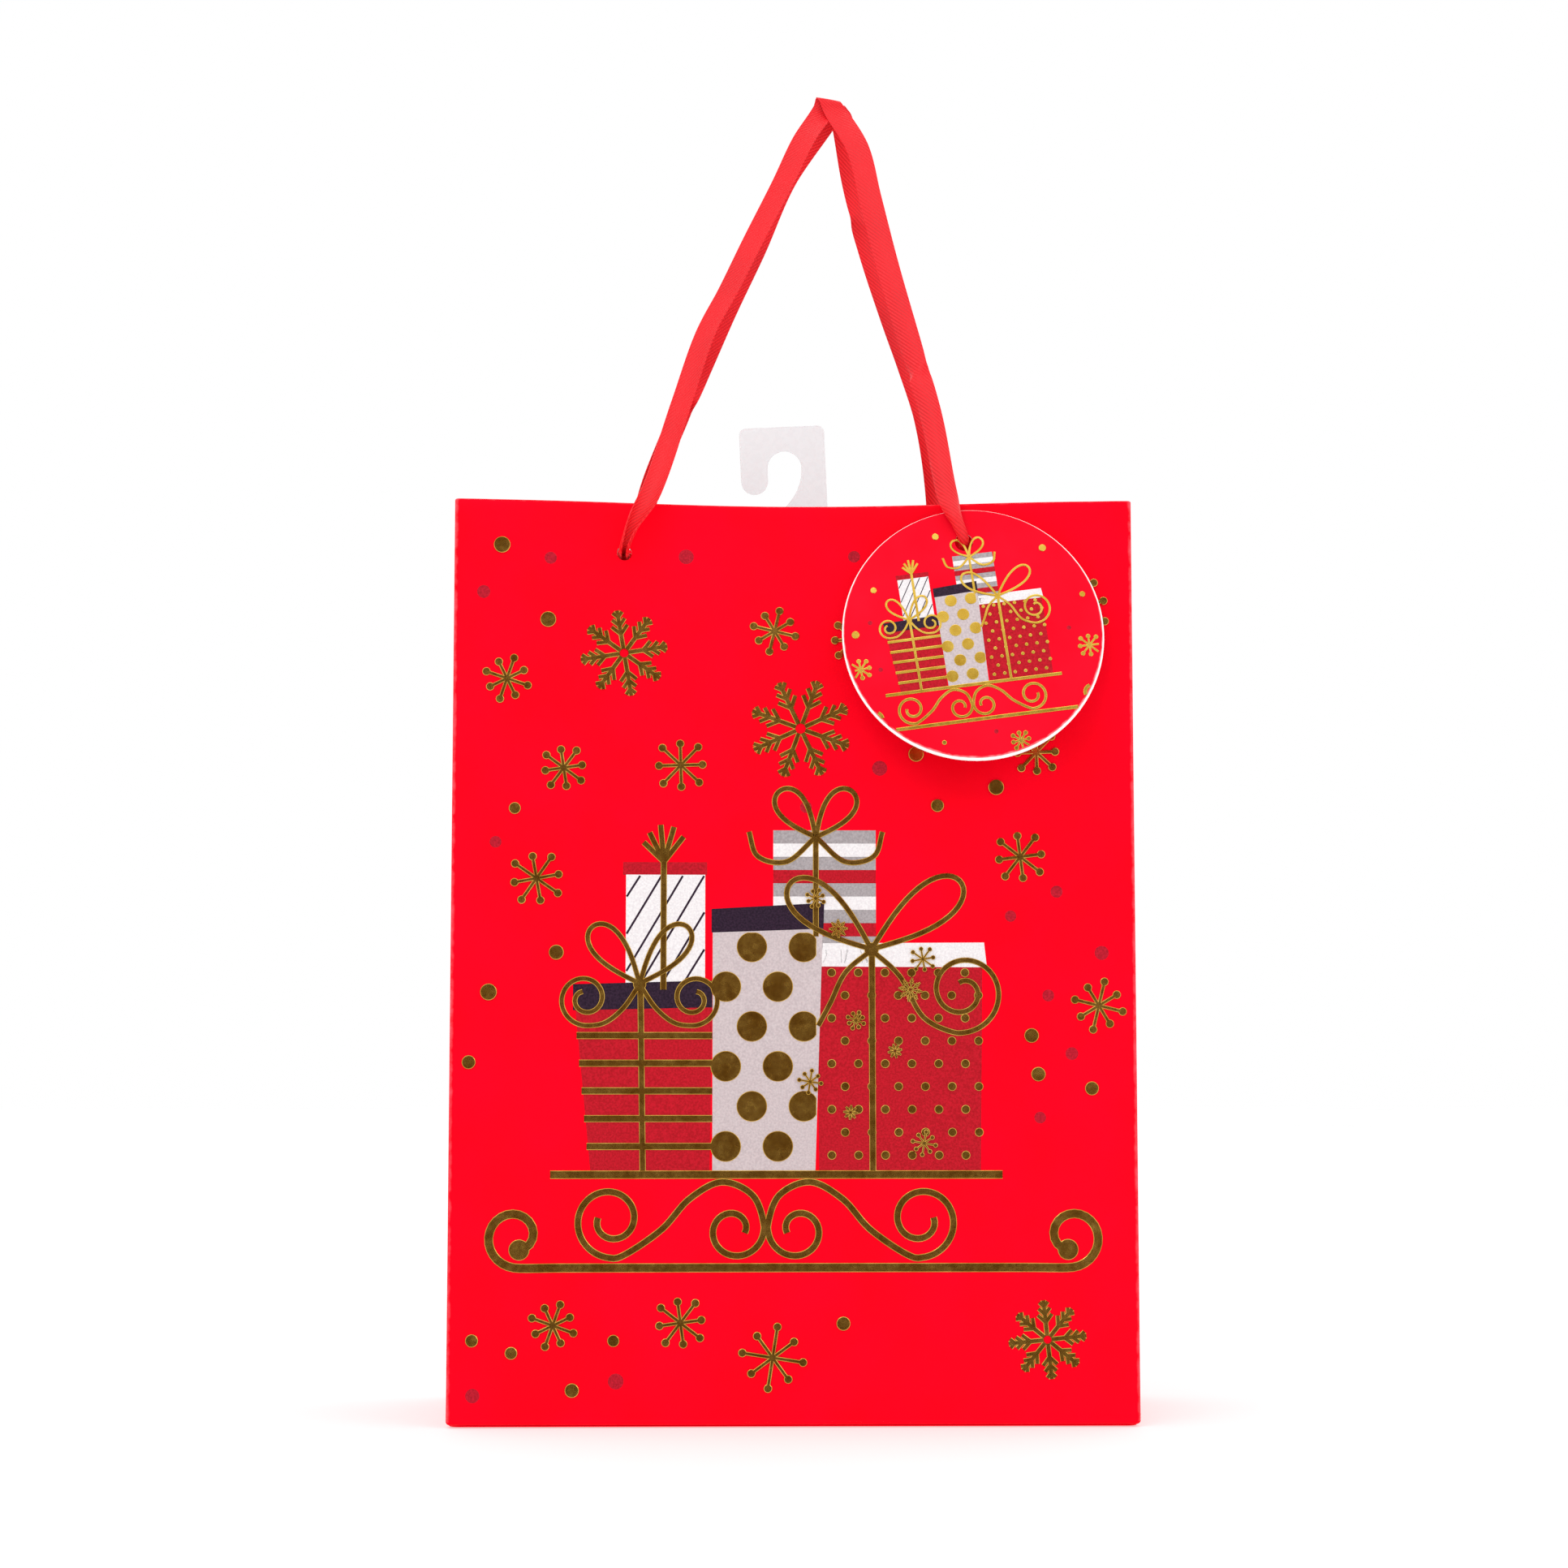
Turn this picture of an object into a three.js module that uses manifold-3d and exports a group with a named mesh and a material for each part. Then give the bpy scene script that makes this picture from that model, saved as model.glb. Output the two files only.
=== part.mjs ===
// Paper gift bag with ribbon handles, a round gift tag and a clear hang tab.
// Millimetres, +Z up, front of the bag towards -Y, +X to the right of someone facing the front.
// The origin is at the middle of the underside of the base.
import * as THREE from "three";
import { mergeVertices } from "three/addons/utils/BufferGeometryUtils.js";
import Module from "manifold-3d";

const wasm = await Module();
wasm.setup();

// Driving dimensions of the bag
const WIDTH = 180; // across the front face
const HEIGHT = 243; // floor to the turned-over top edge
const DEPTH = 80; // front to back when opened
const PAPER = 0.4; // laminated art paper, with its print
const CARD = 0.6; // stiffener card in the top fold
const BOARD = 0.8; // loose board on the bottom
const GAP = 0.3; // between sheets that lie on each other

// Driving dimensions of the ribbons
const HOLE_X = 45; // holes left and right of the middle
const HOLE_DROP = 14; // holes below the top edge
const HOLE_RADIUS = 2;
const RIBBON_WIDTH = 6.2;
const RIBBON = 0.5; // ribbon thickness
const RIBBON_STAND_OFF = 2.4; // ribbon bend in front of the panel's face
const BEND_RISE = 1; // ribbon bend above the top edge
const NECK_RADIUS = 1.1; // ribbon gathered to pass through a hole

// Driving dimensions of the tag
const TAG_RADIUS = 34.5;
const TAG_HOLE_RADIUS = 2.4;
const TAG_HOLE_UP = 25.5; // tag's hole above its middle
const TAG_TILT = THREE.MathUtils.degToRad(9.5); // its foot stands out from the bag
const TAG_TURN = THREE.MathUtils.degToRad(4.5); // its foot stands to the right

// Sizes that follow from those
const HALF_W = WIDTH / 2;
const HALF_D = DEPTH / 2;
const HEM = 40; // paper turned down inside the top
const SHEET_STEP = PAPER + GAP; // face to face of two stacked sheets
const HOLE_Z = HEIGHT - HOLE_DROP;
const CARD_IN = PAPER + GAP; // outer face of the card, from the panel's outer face
const HEM_IN = CARD_IN + CARD + GAP; // the same for the turned-down paper
const STACK = HEM_IN + PAPER; // thickness of the whole top fold
const CORNER_RELIEF = 13; // card and hem stop this far from the bag's corners
const CARD_SHORT = 5; // the card's foot above the hem's foot
const CARD_LOW = 0.7; // the card's top below the turned-over edge
const GUSSET_HEM_RELIEF = 5.5; // gusset hem stops this far from a corner
const GUSSET_HEM_CREASE = 0.6; // and this far from the gusset's middle crease
const SEAM_FLAP_WIDTH = 15; // glued overlap behind the back panel
const SEAM_FLAP_DROP = 1; // the glued flap's top below the hem's foot
const BASE_OVERLAP = 20; // each long base flap passes the middle by this much
const BASE_MITRE = 0.45; // a side flap's free edge, as a share of the bag's depth
const BOARD_CLEARANCE = 3; // loose board inside the walls
const KNOT_SIZE = [3.4, 2.9, 3.1]; // half sizes across, through and up
const KNOT_DROP = 0.8; // a knot sags this far below its hole
const BASE_STACK = 3 * SHEET_STEP + BOARD; // flaps and board
const GUSSET_FOOT = BASE_STACK + 0.5; // gussets end just above the base
const BEND_Y = HALF_D + RIBBON_STAND_OFF;
const BEND_Z = HEIGHT + BEND_RISE;

// Colour and roughness of each material
const finishes = {
  redPaper: { color: 0xd8001c, roughness: 0.5 },
  whitePaper: { color: 0xf2efe9, roughness: 0.85 },
  card: { color: 0xe9e4da, roughness: 0.9 },
  ribbon: { color: 0xc80a20, roughness: 0.45 },
  tag: { color: 0xd50020, roughness: 0.45 },
  film: { color: 0xdfe6ea, roughness: 0.2 },
};

const group = new THREE.Group();

function add(name, geometry, finish) {
  const mesh = new THREE.Mesh(geometry, new THREE.MeshStandardMaterial(finish));
  mesh.name = name;
  group.add(mesh);
}

// A box given by its lowest and highest corners.
function boxBetween(low, high) {
  const size = high.map((value, i) => value - low[i]);
  const middle = high.map((value, i) => (value + low[i]) / 2);
  return new THREE.BoxGeometry(...size).translate(...middle);
}

function rectangle(x0, y0, x1, y1) {
  const corners = [[x0, y0], [x1, y0], [x1, y1], [x0, y1]];
  return new THREE.Shape(corners.map(([x, y]) => new THREE.Vector2(x, y)));
}

function cutHole(shape, x, y, radius) {
  shape.holes.push(new THREE.Path().absarc(x, y, radius, 0, 2 * Math.PI, true));
}

// An upright sheet parallel to the front: the shape is drawn in X and Z, nearest face at y.
function uprightSheet(shape, y, thickness, curveSegments = 10) {
  const options = { depth: thickness, bevelEnabled: false, curveSegments };
  const sheet = new THREE.ExtrudeGeometry(shape, options);
  return sheet.rotateX(Math.PI / 2).translate(0, y + thickness, 0);
}

function toSolid(geometry) {
  const bare = geometry.index ? geometry.toNonIndexed() : geometry.clone();
  bare.deleteAttribute("normal");
  bare.deleteAttribute("uv");
  const merged = mergeVertices(bare, 1e-4);
  return new wasm.Manifold(
    new wasm.Mesh({
      numProp: 3,
      vertProperties: merged.attributes.position.array,
      triVerts: new Uint32Array(merged.index.array),
    }),
  );
}

function join(first, second) {
  const mesh = toSolid(first).add(toSolid(second)).getMesh();
  const joined = new THREE.BufferGeometry();
  joined.setAttribute("position", new THREE.BufferAttribute(mesh.vertProperties, 3));
  joined.setIndex(new THREE.BufferAttribute(mesh.triVerts, 1));
  return joined;
}

// Front and back walls: panel, stiffener card and turned-down hem, all with ribbon holes.
// side is -1 for the front wall and 1 for the back wall.
function addWall(name, side) {
  const inside = HALF_W - CORNER_RELIEF;
  const foot = HEIGHT - HEM;
  const sheets = [
    { part: "panel", x: HALF_W, z0: 0, z1: HEIGHT, depth: 0 },
    { part: "top_card", x: inside, z0: foot + CARD_SHORT, z1: HEIGHT - CARD_LOW, depth: CARD_IN },
    { part: "hem", x: inside, z0: foot, z1: HEIGHT, depth: HEM_IN },
  ];
  for (const { part, x, z0, z1, depth } of sheets) {
    const isCard = part === "top_card";
    const thickness = isCard ? CARD : PAPER;
    const shape = rectangle(-x, z0, x, z1);
    for (const holeX of [-HOLE_X, HOLE_X]) cutHole(shape, holeX, HOLE_Z, HOLE_RADIUS);
    const nearFace = side < 0 ? -HALF_D + depth : HALF_D - depth - thickness;
    const sheet = uprightSheet(shape, nearFace, thickness);
    add(`${name}_${part}`, sheet, isCard ? finishes.card : finishes.redPaper);
  }
}

// Each gusset is two halves that meet at its middle crease, with their own turned-down hems.
function addGussetHalf(name, xSide, ySide) {
  const outer = xSide * HALF_W;
  const crease = ySide * (GAP / 2);
  const corner = ySide * (HALF_D - PAPER - GAP);
  const hemCrease = ySide * GUSSET_HEM_CREASE;
  const hemCorner = ySide * (HALF_D - GUSSET_HEM_RELIEF);
  const between = (a, b) => [Math.min(a, b), Math.max(a, b)];
  const slab = (x0, x1, y0, y1, z0) => {
    const [xLow, xHigh] = between(x0, x1);
    const [yLow, yHigh] = between(y0, y1);
    return boxBetween([xLow, yLow, z0], [xHigh, yHigh, HEIGHT]);
  };
  const inner = (distance) => outer - xSide * distance;
  add(name, slab(outer, inner(PAPER), crease, corner, GUSSET_FOOT), finishes.redPaper);
  const hem = slab(inner(SHEET_STEP), inner(SHEET_STEP + PAPER), hemCrease, hemCorner, HEIGHT - HEM);
  add(`${name}_hem`, hem, finishes.redPaper);
}

// The sheet that makes the bag is closed by a glued flap behind the back panel's right edge.
function addSeamFlap() {
  const outerX = HALF_W - GUSSET_HEM_RELIEF;
  const outerY = HALF_D - SHEET_STEP;
  const low = [outerX - SEAM_FLAP_WIDTH, outerY - PAPER, GUSSET_FOOT];
  const high = [outerX, outerY, HEIGHT - HEM - SEAM_FLAP_DROP];
  add("side_seam_flap", boxBetween(low, high), finishes.whitePaper);
}

// The base: front and rear flaps overlap under two mitred side flaps, and a board lies on top.
function addBase() {
  const edge = HALF_D - PAPER - GAP;
  const end = HALF_W - PAPER - GAP;
  const layer = (i) => i * SHEET_STEP;
  const longFlap = (y0, y1, z) => boxBetween([-end, y0, z], [end, y1, z + PAPER]);
  add("base_front_flap", longFlap(-edge, BASE_OVERLAP, layer(0)), finishes.redPaper);
  add("base_rear_flap", longFlap(-BASE_OVERLAP, edge, layer(1)), finishes.redPaper);
  for (const [side, xSide] of [["left", -1], ["right", 1]]) {
    const tip = xSide * (end - HALF_D);
    const mitre = edge * BASE_MITRE;
    const corners = [[xSide * end, -edge], [xSide * end, edge], [tip, mitre], [tip, -mitre]];
    const flap = new THREE.Shape(corners.map(([x, y]) => new THREE.Vector2(x, y)));
    const solid = new THREE.ExtrudeGeometry(flap, { depth: PAPER, bevelEnabled: false });
    add(`base_${side}_flap`, solid.translate(0, 0, layer(2)), finishes.whitePaper);
  }
  const x = HALF_W - BOARD_CLEARANCE;
  const y = HALF_D - BOARD_CLEARANCE;
  const z = layer(3);
  add("base_board", boxBetween([-x, -y, z], [x, y, z + BOARD]), finishes.card);
}

// A flat strap: its centre line is drawn in the plane of its face, its outline set off to both sides.
function strapShape(curve, steps, width) {
  const sides = { left: [], right: [] };
  for (let i = 0; i <= steps; i++) {
    const point = curve.getPointAt(i / steps);
    const along = curve.getTangentAt(i / steps);
    const across = new THREE.Vector2(-along.y, along.x).multiplyScalar(width / 2);
    sides.left.push(new THREE.Vector2(point.x + across.x, point.y + across.y));
    sides.right.unshift(new THREE.Vector2(point.x - across.x, point.y - across.y));
  }
  return new THREE.Shape([...sides.left, ...sides.right]);
}

// A flat strap in a plane that leans away from the ribbon's bend line by an angle about X.
// side is -1 at the front and 1 at the back; the strap's outer face lies on the bend line.
function leaningStrap(curve, steps, side, lean) {
  const shape = strapShape(curve, steps, RIBBON_WIDTH);
  const strap = new THREE.ExtrudeGeometry(shape, { depth: RIBBON, bevelEnabled: false });
  const upright = strap.rotateX(Math.PI / 2).translate(0, side < 0 ? RIBBON : 0, 0);
  return upright.rotateX(side * lean).translate(0, side * BEND_Y, BEND_Z);
}

// A smooth centre line through points in a strap's own plane.
function centreLine(points) {
  const flat = points.map(([x, along]) => new THREE.Vector3(x, along, 0));
  return new THREE.CatmullRomCurve3(flat, false, "centripetal");
}

// The two ribbon handles stand up and lean on each other at their tops.
// Each centre line runs from the left bend over the top to the right bend, in X and height.
const HANDLE_TOP = 359; // highest point of a centre line
const TOP_CLEARANCE = 0.4; // from a handle's inner face to the middle of the bag
const STRAP_TOP = HANDLE_TOP + RIBBON_WIDTH / 2;
const LEAN = Math.atan((BEND_Y - RIBBON - TOP_CLEARANCE) / (STRAP_TOP - BEND_Z));
const handleLines = {
  front: [
    [-37.8, BEND_Z], [-30, 269], [-23.3, 290], [-17.4, 302], [-10.6, 317], [-2.6, 334], [3.6, 348],
    [7.6, 356], [12, HANDLE_TOP], [16.2, 355.6], [18.6, 346], [22, 330], [26.4, 309.5], [32, 286.5],
    [37.3, 266], [41.3, BEND_Z],
  ],
  back: [
    [-44, BEND_Z], [-41.8, 257], [-34, 273], [-25.5, 290], [-17.3, 307.5], [-9.6, 323], [-1.2, 341],
    [5.6, 353.6], [11, HANDLE_TOP], [15.4, 354], [17.8, 341], [21.8, 324], [27.8, 306], [32.4, 293],
    [37.2, 280.5], [40.2, 269], [42.4, 256.5], [44, BEND_Z],
  ],
};

function addHandle(name, side) {
  const steps = 40;
  const points = handleLines[name].map(([x, z]) => [x, (z - BEND_Z) / Math.cos(LEAN)]);
  points[0][1] = GAP;
  points[points.length - 1][1] = GAP;
  const strap = leaningStrap(centreLine(points), steps, side, LEAN);
  add(`${name}_ribbon_handle`, strap, finishes.ribbon);
}

// The ribbon's ends run from the bend down to the holes. The front right one passes the tag first.
const TAG_HOLE_RISE = 1.9; // tag's hole above the bag's hole
const TAG_HOLE_Z = HOLE_Z + TAG_HOLE_RISE;
const TAG_STAND_OFF = 2.4; // the ribbon holds the tag this far in front of the panel
const tagHoleBack = HALF_D + TAG_STAND_OFF;
const tagHoleFront = tagHoleBack + CARD / Math.cos(TAG_TILT);

function addRibbonEnd(wall, side, end, footX, footY, footZ) {
  const line = handleLines[wall];
  const [bendX] = end === "left" ? line[0] : line[line.length - 1];
  const rise = BEND_Z - footZ;
  const lean = Math.atan2(footY - BEND_Y, rise);
  const length = Math.hypot(footY - BEND_Y, rise);
  const points = [[footX, -length], [bendX, -GAP]];
  const strap = leaningStrap(centreLine(points), 1, side, lean);
  add(`${wall}_ribbon_end_${end}`, strap, finishes.ribbon);
}

// A knot inside the hem, and the gathered ribbon that runs from it out through the holes.
function addKnot(wall, side, end, outY, outZ) {
  const x = end === "left" ? -HOLE_X : HOLE_X;
  const knotY = side * (HALF_D - STACK - GAP - KNOT_SIZE[1]);
  const knot = new THREE.SphereGeometry(1, 14, 10).scale(...KNOT_SIZE);
  knot.translate(x, knotY, HOLE_Z - KNOT_DROP);
  const slope = 0.75; // the neck starts lower than its hole by this share of the rise outside
  const from = new THREE.Vector3(x, knotY, HOLE_Z - (outZ - HOLE_Z) * slope);
  const to = new THREE.Vector3(x, side * outY, outZ);
  const span = new THREE.Vector3().subVectors(to, from);
  const neck = new THREE.CylinderGeometry(NECK_RADIUS, NECK_RADIUS, span.length(), 12);
  const upright = new THREE.Vector3(0, 1, 0);
  const turn = new THREE.Quaternion().setFromUnitVectors(upright, span.clone().normalize());
  neck.applyQuaternion(turn).translate(...from.clone().lerp(to, 0.5).toArray());
  add(`${wall}_knot_${end}`, join(knot, neck), finishes.ribbon);
}

function addRibbons() {
  const outsideY = HALF_D + 1; // where the gathered ribbon leaves a plain hole
  const endY = outsideY + GAP + RIBBON; // outer face of a ribbon end at its foot
  const endZ = HOLE_Z + 1; // lower end of that face
  const tagNeckY = tagHoleFront + GAP;
  const tagEndY = tagNeckY + GAP + RIBBON;
  addHandle("front", -1);
  addHandle("back", 1);
  addRibbonEnd("front", -1, "left", -HOLE_X + 0.6, endY, endZ);
  addRibbonEnd("front", -1, "right", HOLE_X - 0.4, tagEndY, TAG_HOLE_Z + 0.6);
  addRibbonEnd("back", 1, "left", -HOLE_X, endY, endZ);
  addRibbonEnd("back", 1, "right", HOLE_X, endY, endZ);
  addKnot("front", -1, "left", outsideY, HOLE_Z);
  addKnot("front", -1, "right", tagNeckY, TAG_HOLE_Z);
  addKnot("back", 1, "left", outsideY, HOLE_Z);
  addKnot("back", 1, "right", outsideY, HOLE_Z);
}

// The round tag hangs on the front right ribbon, which holds it off the panel, and its foot stands out.
function addTag() {
  const shape = new THREE.Shape().absarc(0, -TAG_HOLE_UP, TAG_RADIUS, 0, 2 * Math.PI, false);
  cutHole(shape, 0, 0, TAG_HOLE_RADIUS);
  const tag = uprightSheet(shape, -CARD, CARD, 28);
  tag.rotateY(-TAG_TURN).rotateX(-TAG_TILT).translate(HOLE_X, -tagHoleBack, TAG_HOLE_Z);
  add("gift_tag", tag, finishes.tag);
}

// The clear hang tab is stuck to the outside of the back panel and has a hook-shaped slot.
function addHangTab() {
  const left = -13;
  const right = 11.8;
  const top = 278.4;
  const bottom = 226;
  const corner = 2;
  const slotRadius = 4.9;
  const slotX = -0.2;
  const slotTop = 271.2;
  const tipFoot = 258.9;
  const tipRight = slotX - slotRadius;
  const tipX = (left + tipRight) / 2;
  const tipRadius = (tipRight - left) / 2;
  const slotFoot = 251; // where the slot's right side meets the stuck-down part
  const shape = new THREE.Shape();
  shape.moveTo(left + corner, bottom);
  shape.lineTo(right - corner, bottom);
  shape.absarc(right - corner, bottom + corner, corner, -Math.PI / 2, 0, false);
  shape.lineTo(right, top - corner);
  shape.absarc(right - corner, top - corner, corner, 0, Math.PI / 2, false);
  shape.lineTo(left + corner, top);
  shape.absarc(left + corner, top - corner, corner, Math.PI / 2, Math.PI, false);
  shape.lineTo(left, tipFoot + tipRadius);
  shape.absarc(tipX, tipFoot + tipRadius, tipRadius, Math.PI, 2 * Math.PI, false);
  shape.lineTo(tipRight, slotTop - slotRadius);
  shape.absarc(slotX, slotTop - slotRadius, slotRadius, Math.PI, 0, true);
  const sweep = [slotX + slotRadius, slotFoot + 5, left + 8, slotFoot, left, slotFoot - 4];
  shape.bezierCurveTo(...sweep);
  shape.lineTo(left, bottom + corner);
  shape.absarc(left + corner, bottom + corner, corner, Math.PI, 1.5 * Math.PI, false);
  add("hang_tab", uprightSheet(shape, HALF_D + GAP, PAPER, 8), finishes.film);
}

addWall("front", -1);
addWall("back", 1);
for (const [side, xSide] of [["left", -1], ["right", 1]]) {
  for (const [half, ySide] of [["front", -1], ["rear", 1]]) {
    addGussetHalf(`${side}_gusset_${half}`, xSide, ySide);
  }
}
addSeamFlap();
addBase();
addRibbons();
addTag();
addHangTab();

export default group;
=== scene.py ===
"""The looks of a paper gift bag around its CAD frame: creased paper walls with foil and ink print,
satin ribbon handles, a round card tag and a clear hang tab. Lengths are in millimetres up to make_mesh()."""

import math

import bmesh
import bpy
import numpy as np
from mathutils import Matrix, Vector
from mathutils.geometry import delaunay_2d_cdt


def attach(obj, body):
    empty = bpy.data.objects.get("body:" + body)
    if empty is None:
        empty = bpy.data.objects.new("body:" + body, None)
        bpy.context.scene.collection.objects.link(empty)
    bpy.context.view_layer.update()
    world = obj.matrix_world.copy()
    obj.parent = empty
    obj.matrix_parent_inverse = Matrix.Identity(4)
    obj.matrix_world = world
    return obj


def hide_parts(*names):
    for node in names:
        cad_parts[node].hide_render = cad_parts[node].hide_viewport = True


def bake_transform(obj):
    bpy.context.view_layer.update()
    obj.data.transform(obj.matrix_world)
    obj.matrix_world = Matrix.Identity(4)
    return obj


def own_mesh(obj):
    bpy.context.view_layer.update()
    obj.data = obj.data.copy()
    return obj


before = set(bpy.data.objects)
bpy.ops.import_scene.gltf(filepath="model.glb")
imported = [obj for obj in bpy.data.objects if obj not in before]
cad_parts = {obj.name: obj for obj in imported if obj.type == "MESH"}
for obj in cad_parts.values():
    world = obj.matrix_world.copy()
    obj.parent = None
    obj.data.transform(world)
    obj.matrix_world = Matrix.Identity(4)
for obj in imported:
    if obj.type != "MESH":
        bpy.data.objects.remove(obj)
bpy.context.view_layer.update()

MM = 0.001

# Driving dimensions, as in the CAD source
HALF_W = 90.0
HALF_D = 40.0
HEIGHT = 243.0
HEM = 40.0
HOLE_X = 45.0
HOLE_Z = 229.0
HOLE_RADIUS = 2.0
RIBBON_WIDTH = 6.3
BEND_Y = 42.4
BEND_Z = 244.0
HANDLE_TOP = 361.0
STRETCH = 1.034  # the visible handles reach this share of their drawn height above the bend
TAG_RADIUS = 34.5
TAG_HOLE_UP = 25.5
TAG_TILT = math.radians(9.5)
TAG_TURN = math.radians(4.5)
TAG_HOLE_Z = 230.9
TAG_HOLE_Y = -42.4

# Dimensions of the visible sheets
PAPER = 0.3
CARD = 0.6
CARD_DEPTH = 0.7  # from a wall's printed face to its stiffener card
CARD_SIDE = 13.0  # from a wall's upright edges to its card
GAP_BEHIND = 0.25  # from the back panel to the hang tab
CORNER = 1.2  # radius of the upright corner creases
ROLL = 1.0  # radius of the turned-over top edge, over the stiffener card
ROLL_END = 0.45  # the same beside the corners, where the card has ended
PINCH = 5.0  # the ribbons draw the middle of each wall in by this much
CREASE_IN = 7.5  # the gussets' middle creases stand in by this much at the top
ARC = CORNER * math.pi / 2
FLAT = HALF_W - CORNER
ROLL_FOOT = HEIGHT - ROLL
ROLL_SPAN = math.pi  # the roll takes this much of a sheet's height coordinate
HEM_START = ROLL_FOOT + ROLL_SPAN
HEM_HOLE = HEM_START + ROLL_FOOT - HOLE_Z
GUSSET_REACH = HALF_D - CORNER  # flat width of half a gusset
CREASE_RISE = 0.3  # the crease left across the back wall by its packing, and its height
CREASE_Z = 42.0
CLEAR_Z = 240.2  # above this a ribbon is its handle, below it are its two ends


# ---------------------------------------------------------------- helpers

def srgb(r, g, b):
    """The linear colour of an sRGB one given in 0 to 255."""
    def linear(c):
        c /= 255
        return c / 12.92 if c <= 0.04045 else ((c + 0.055) / 1.055) ** 2.4
    return (linear(r), linear(g), linear(b), 1.0)


def smooth(t):
    t = min(max(t, 0.0), 1.0)
    return t * t * (3 - 2 * t)


def make_mesh(name, points, faces, materials, kinds=None, attributes=None, sharp=35):
    """A mesh object from points in millimetres."""
    mesh = bpy.data.meshes.new(name)
    mesh.from_pydata((np.asarray(points, float) * MM).tolist(), [], [tuple(int(i) for i in f) for f in faces])
    for material in materials:
        mesh.materials.append(material)
    if kinds is not None:
        mesh.polygons.foreach_set("material_index", np.asarray(kinds, np.int32))
    for key, values in (attributes or {}).items():
        mesh.attributes.new(key, "FLOAT", "POINT").data.foreach_set("value", np.asarray(values, np.float32))
    mesh.polygons.foreach_set("use_smooth", np.ones(len(faces), bool))
    mesh.update()
    mesh.set_sharp_from_angle(angle=math.radians(sharp))
    obj = bpy.data.objects.new(name, mesh)
    bpy.context.collection.objects.link(obj)
    return obj


def face_outwards(obj):
    """Turns every closed shell of a mesh so that its faces point out."""
    bm = bmesh.new()
    bm.from_mesh(obj.data)
    bmesh.ops.recalc_face_normals(bm, faces=bm.faces)
    bm.to_mesh(obj.data)
    bm.free()


def smooth_line(points, spacing):
    """Even points on a centripetal Catmull-Rom curve through the given ones."""
    p = np.asarray(points, float)
    p = np.vstack([2 * p[0] - p[1], p, 2 * p[-1] - p[-2]])
    dense = []
    for i in range(1, len(p) - 2):
        q = p[i - 1:i + 3]
        knots = [0.0]
        for a, b in zip(q, q[1:]):
            knots.append(knots[-1] + max(np.linalg.norm(b - a), 1e-6) ** 0.5)
        for t in np.linspace(knots[1], knots[2], 24, endpoint=False):
            level = list(q)
            for span in (1, 2, 3):
                nearer = []
                for k in range(4 - span):
                    low, high = knots[k], knots[k + span]
                    if span == 3:
                        low, high = knots[1], knots[2]
                    elif span == 2:
                        low, high = knots[k], knots[k + 2]
                    share = (t - low) / (high - low)
                    nearer.append(level[k] * (1 - share) + level[k + 1] * share)
                level = nearer
            dense.append(level[0])
    dense.append(p[-2])
    return even(np.array(dense), spacing)


def run_along(line):
    """How far along a polyline each of its points is."""
    steps = np.linalg.norm(np.diff(line, axis=0), axis=1)
    return np.concatenate([[0], np.cumsum(steps)])


def unit(vectors):
    return vectors / np.linalg.norm(vectors, axis=-1, keepdims=True)


def even(line, spacing):
    """The same polyline, with its points at an even spacing."""
    run = run_along(line)
    count = max(2, int(round(run[-1] / spacing)) + 1)
    at = np.linspace(0, run[-1], count)
    return np.stack([np.interp(at, run, line[:, k]) for k in range(line.shape[1])], 1)


def ring(x, y, radius, count):
    turns = np.linspace(0, 2 * math.pi, count, endpoint=False)
    return [(x + radius * math.cos(a), y + radius * math.sin(a)) for a in turns]


# ---------------------------------------------------------------- materials

def grey(value):
    return (value, value, value, 1.0)


def principled(name, colour, roughness, metallic=0.0, **inputs):
    """A new material with its nodes, links and shader."""
    material = bpy.data.materials.new(name)
    material.use_nodes = True
    nodes = material.node_tree.nodes
    shader = nodes["Principled BSDF"]
    shader.inputs["Base Color"].default_value = colour
    shader.inputs["Roughness"].default_value = roughness
    shader.inputs["Metallic"].default_value = metallic
    for key, value in inputs.items():
        shader.inputs[key.replace("_", " ")].default_value = value
    return material, nodes, material.node_tree.links.new, shader


def noise(nodes, link, scale, detail=3.0, stretch=None):
    """Noise over the surface; scale is in features per metre."""
    place = nodes.new("ShaderNodeTexCoord").outputs["Object"]
    if stretch:
        mapping = nodes.new("ShaderNodeMapping")
        mapping.inputs["Scale"].default_value = stretch
        link(place, mapping.inputs["Vector"])
        place = mapping.outputs["Vector"]
    texture = nodes.new("ShaderNodeTexNoise")
    texture.inputs["Scale"].default_value = scale
    texture.inputs["Detail"].default_value = detail
    link(place, texture.inputs["Vector"])
    return texture.outputs["Fac"]


def ramp(nodes, link, value, low, high, stops):
    """Colours spread over a value from low to high."""
    spread = nodes.new("ShaderNodeValToRGB")
    elements = spread.color_ramp.elements
    elements[0].position = low
    elements[0].color = stops[0]
    elements[1].position = high
    elements[1].color = stops[1]
    link(value, spread.inputs["Fac"])
    return spread.outputs["Color"]


def mixed(nodes, link, share, a, b):
    """Colour a, turning to b as share goes from 0 to 1."""
    mix = nodes.new("ShaderNodeMix")
    mix.data_type = "RGBA"
    link(share, mix.inputs["Factor"])
    for socket, value in ((mix.inputs[6], a), (mix.inputs[7], b)):
        if isinstance(value, tuple):
            socket.default_value = value
        else:
            link(value, socket)
    return mix.outputs[2]


def product(nodes, link, a, b):
    times = nodes.new("ShaderNodeMath")
    times.operation = "MULTIPLY"
    link(a, times.inputs[0])
    if isinstance(b, float):
        times.inputs[1].default_value = b
    else:
        link(b, times.inputs[1])
    return times.outputs[0]


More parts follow.
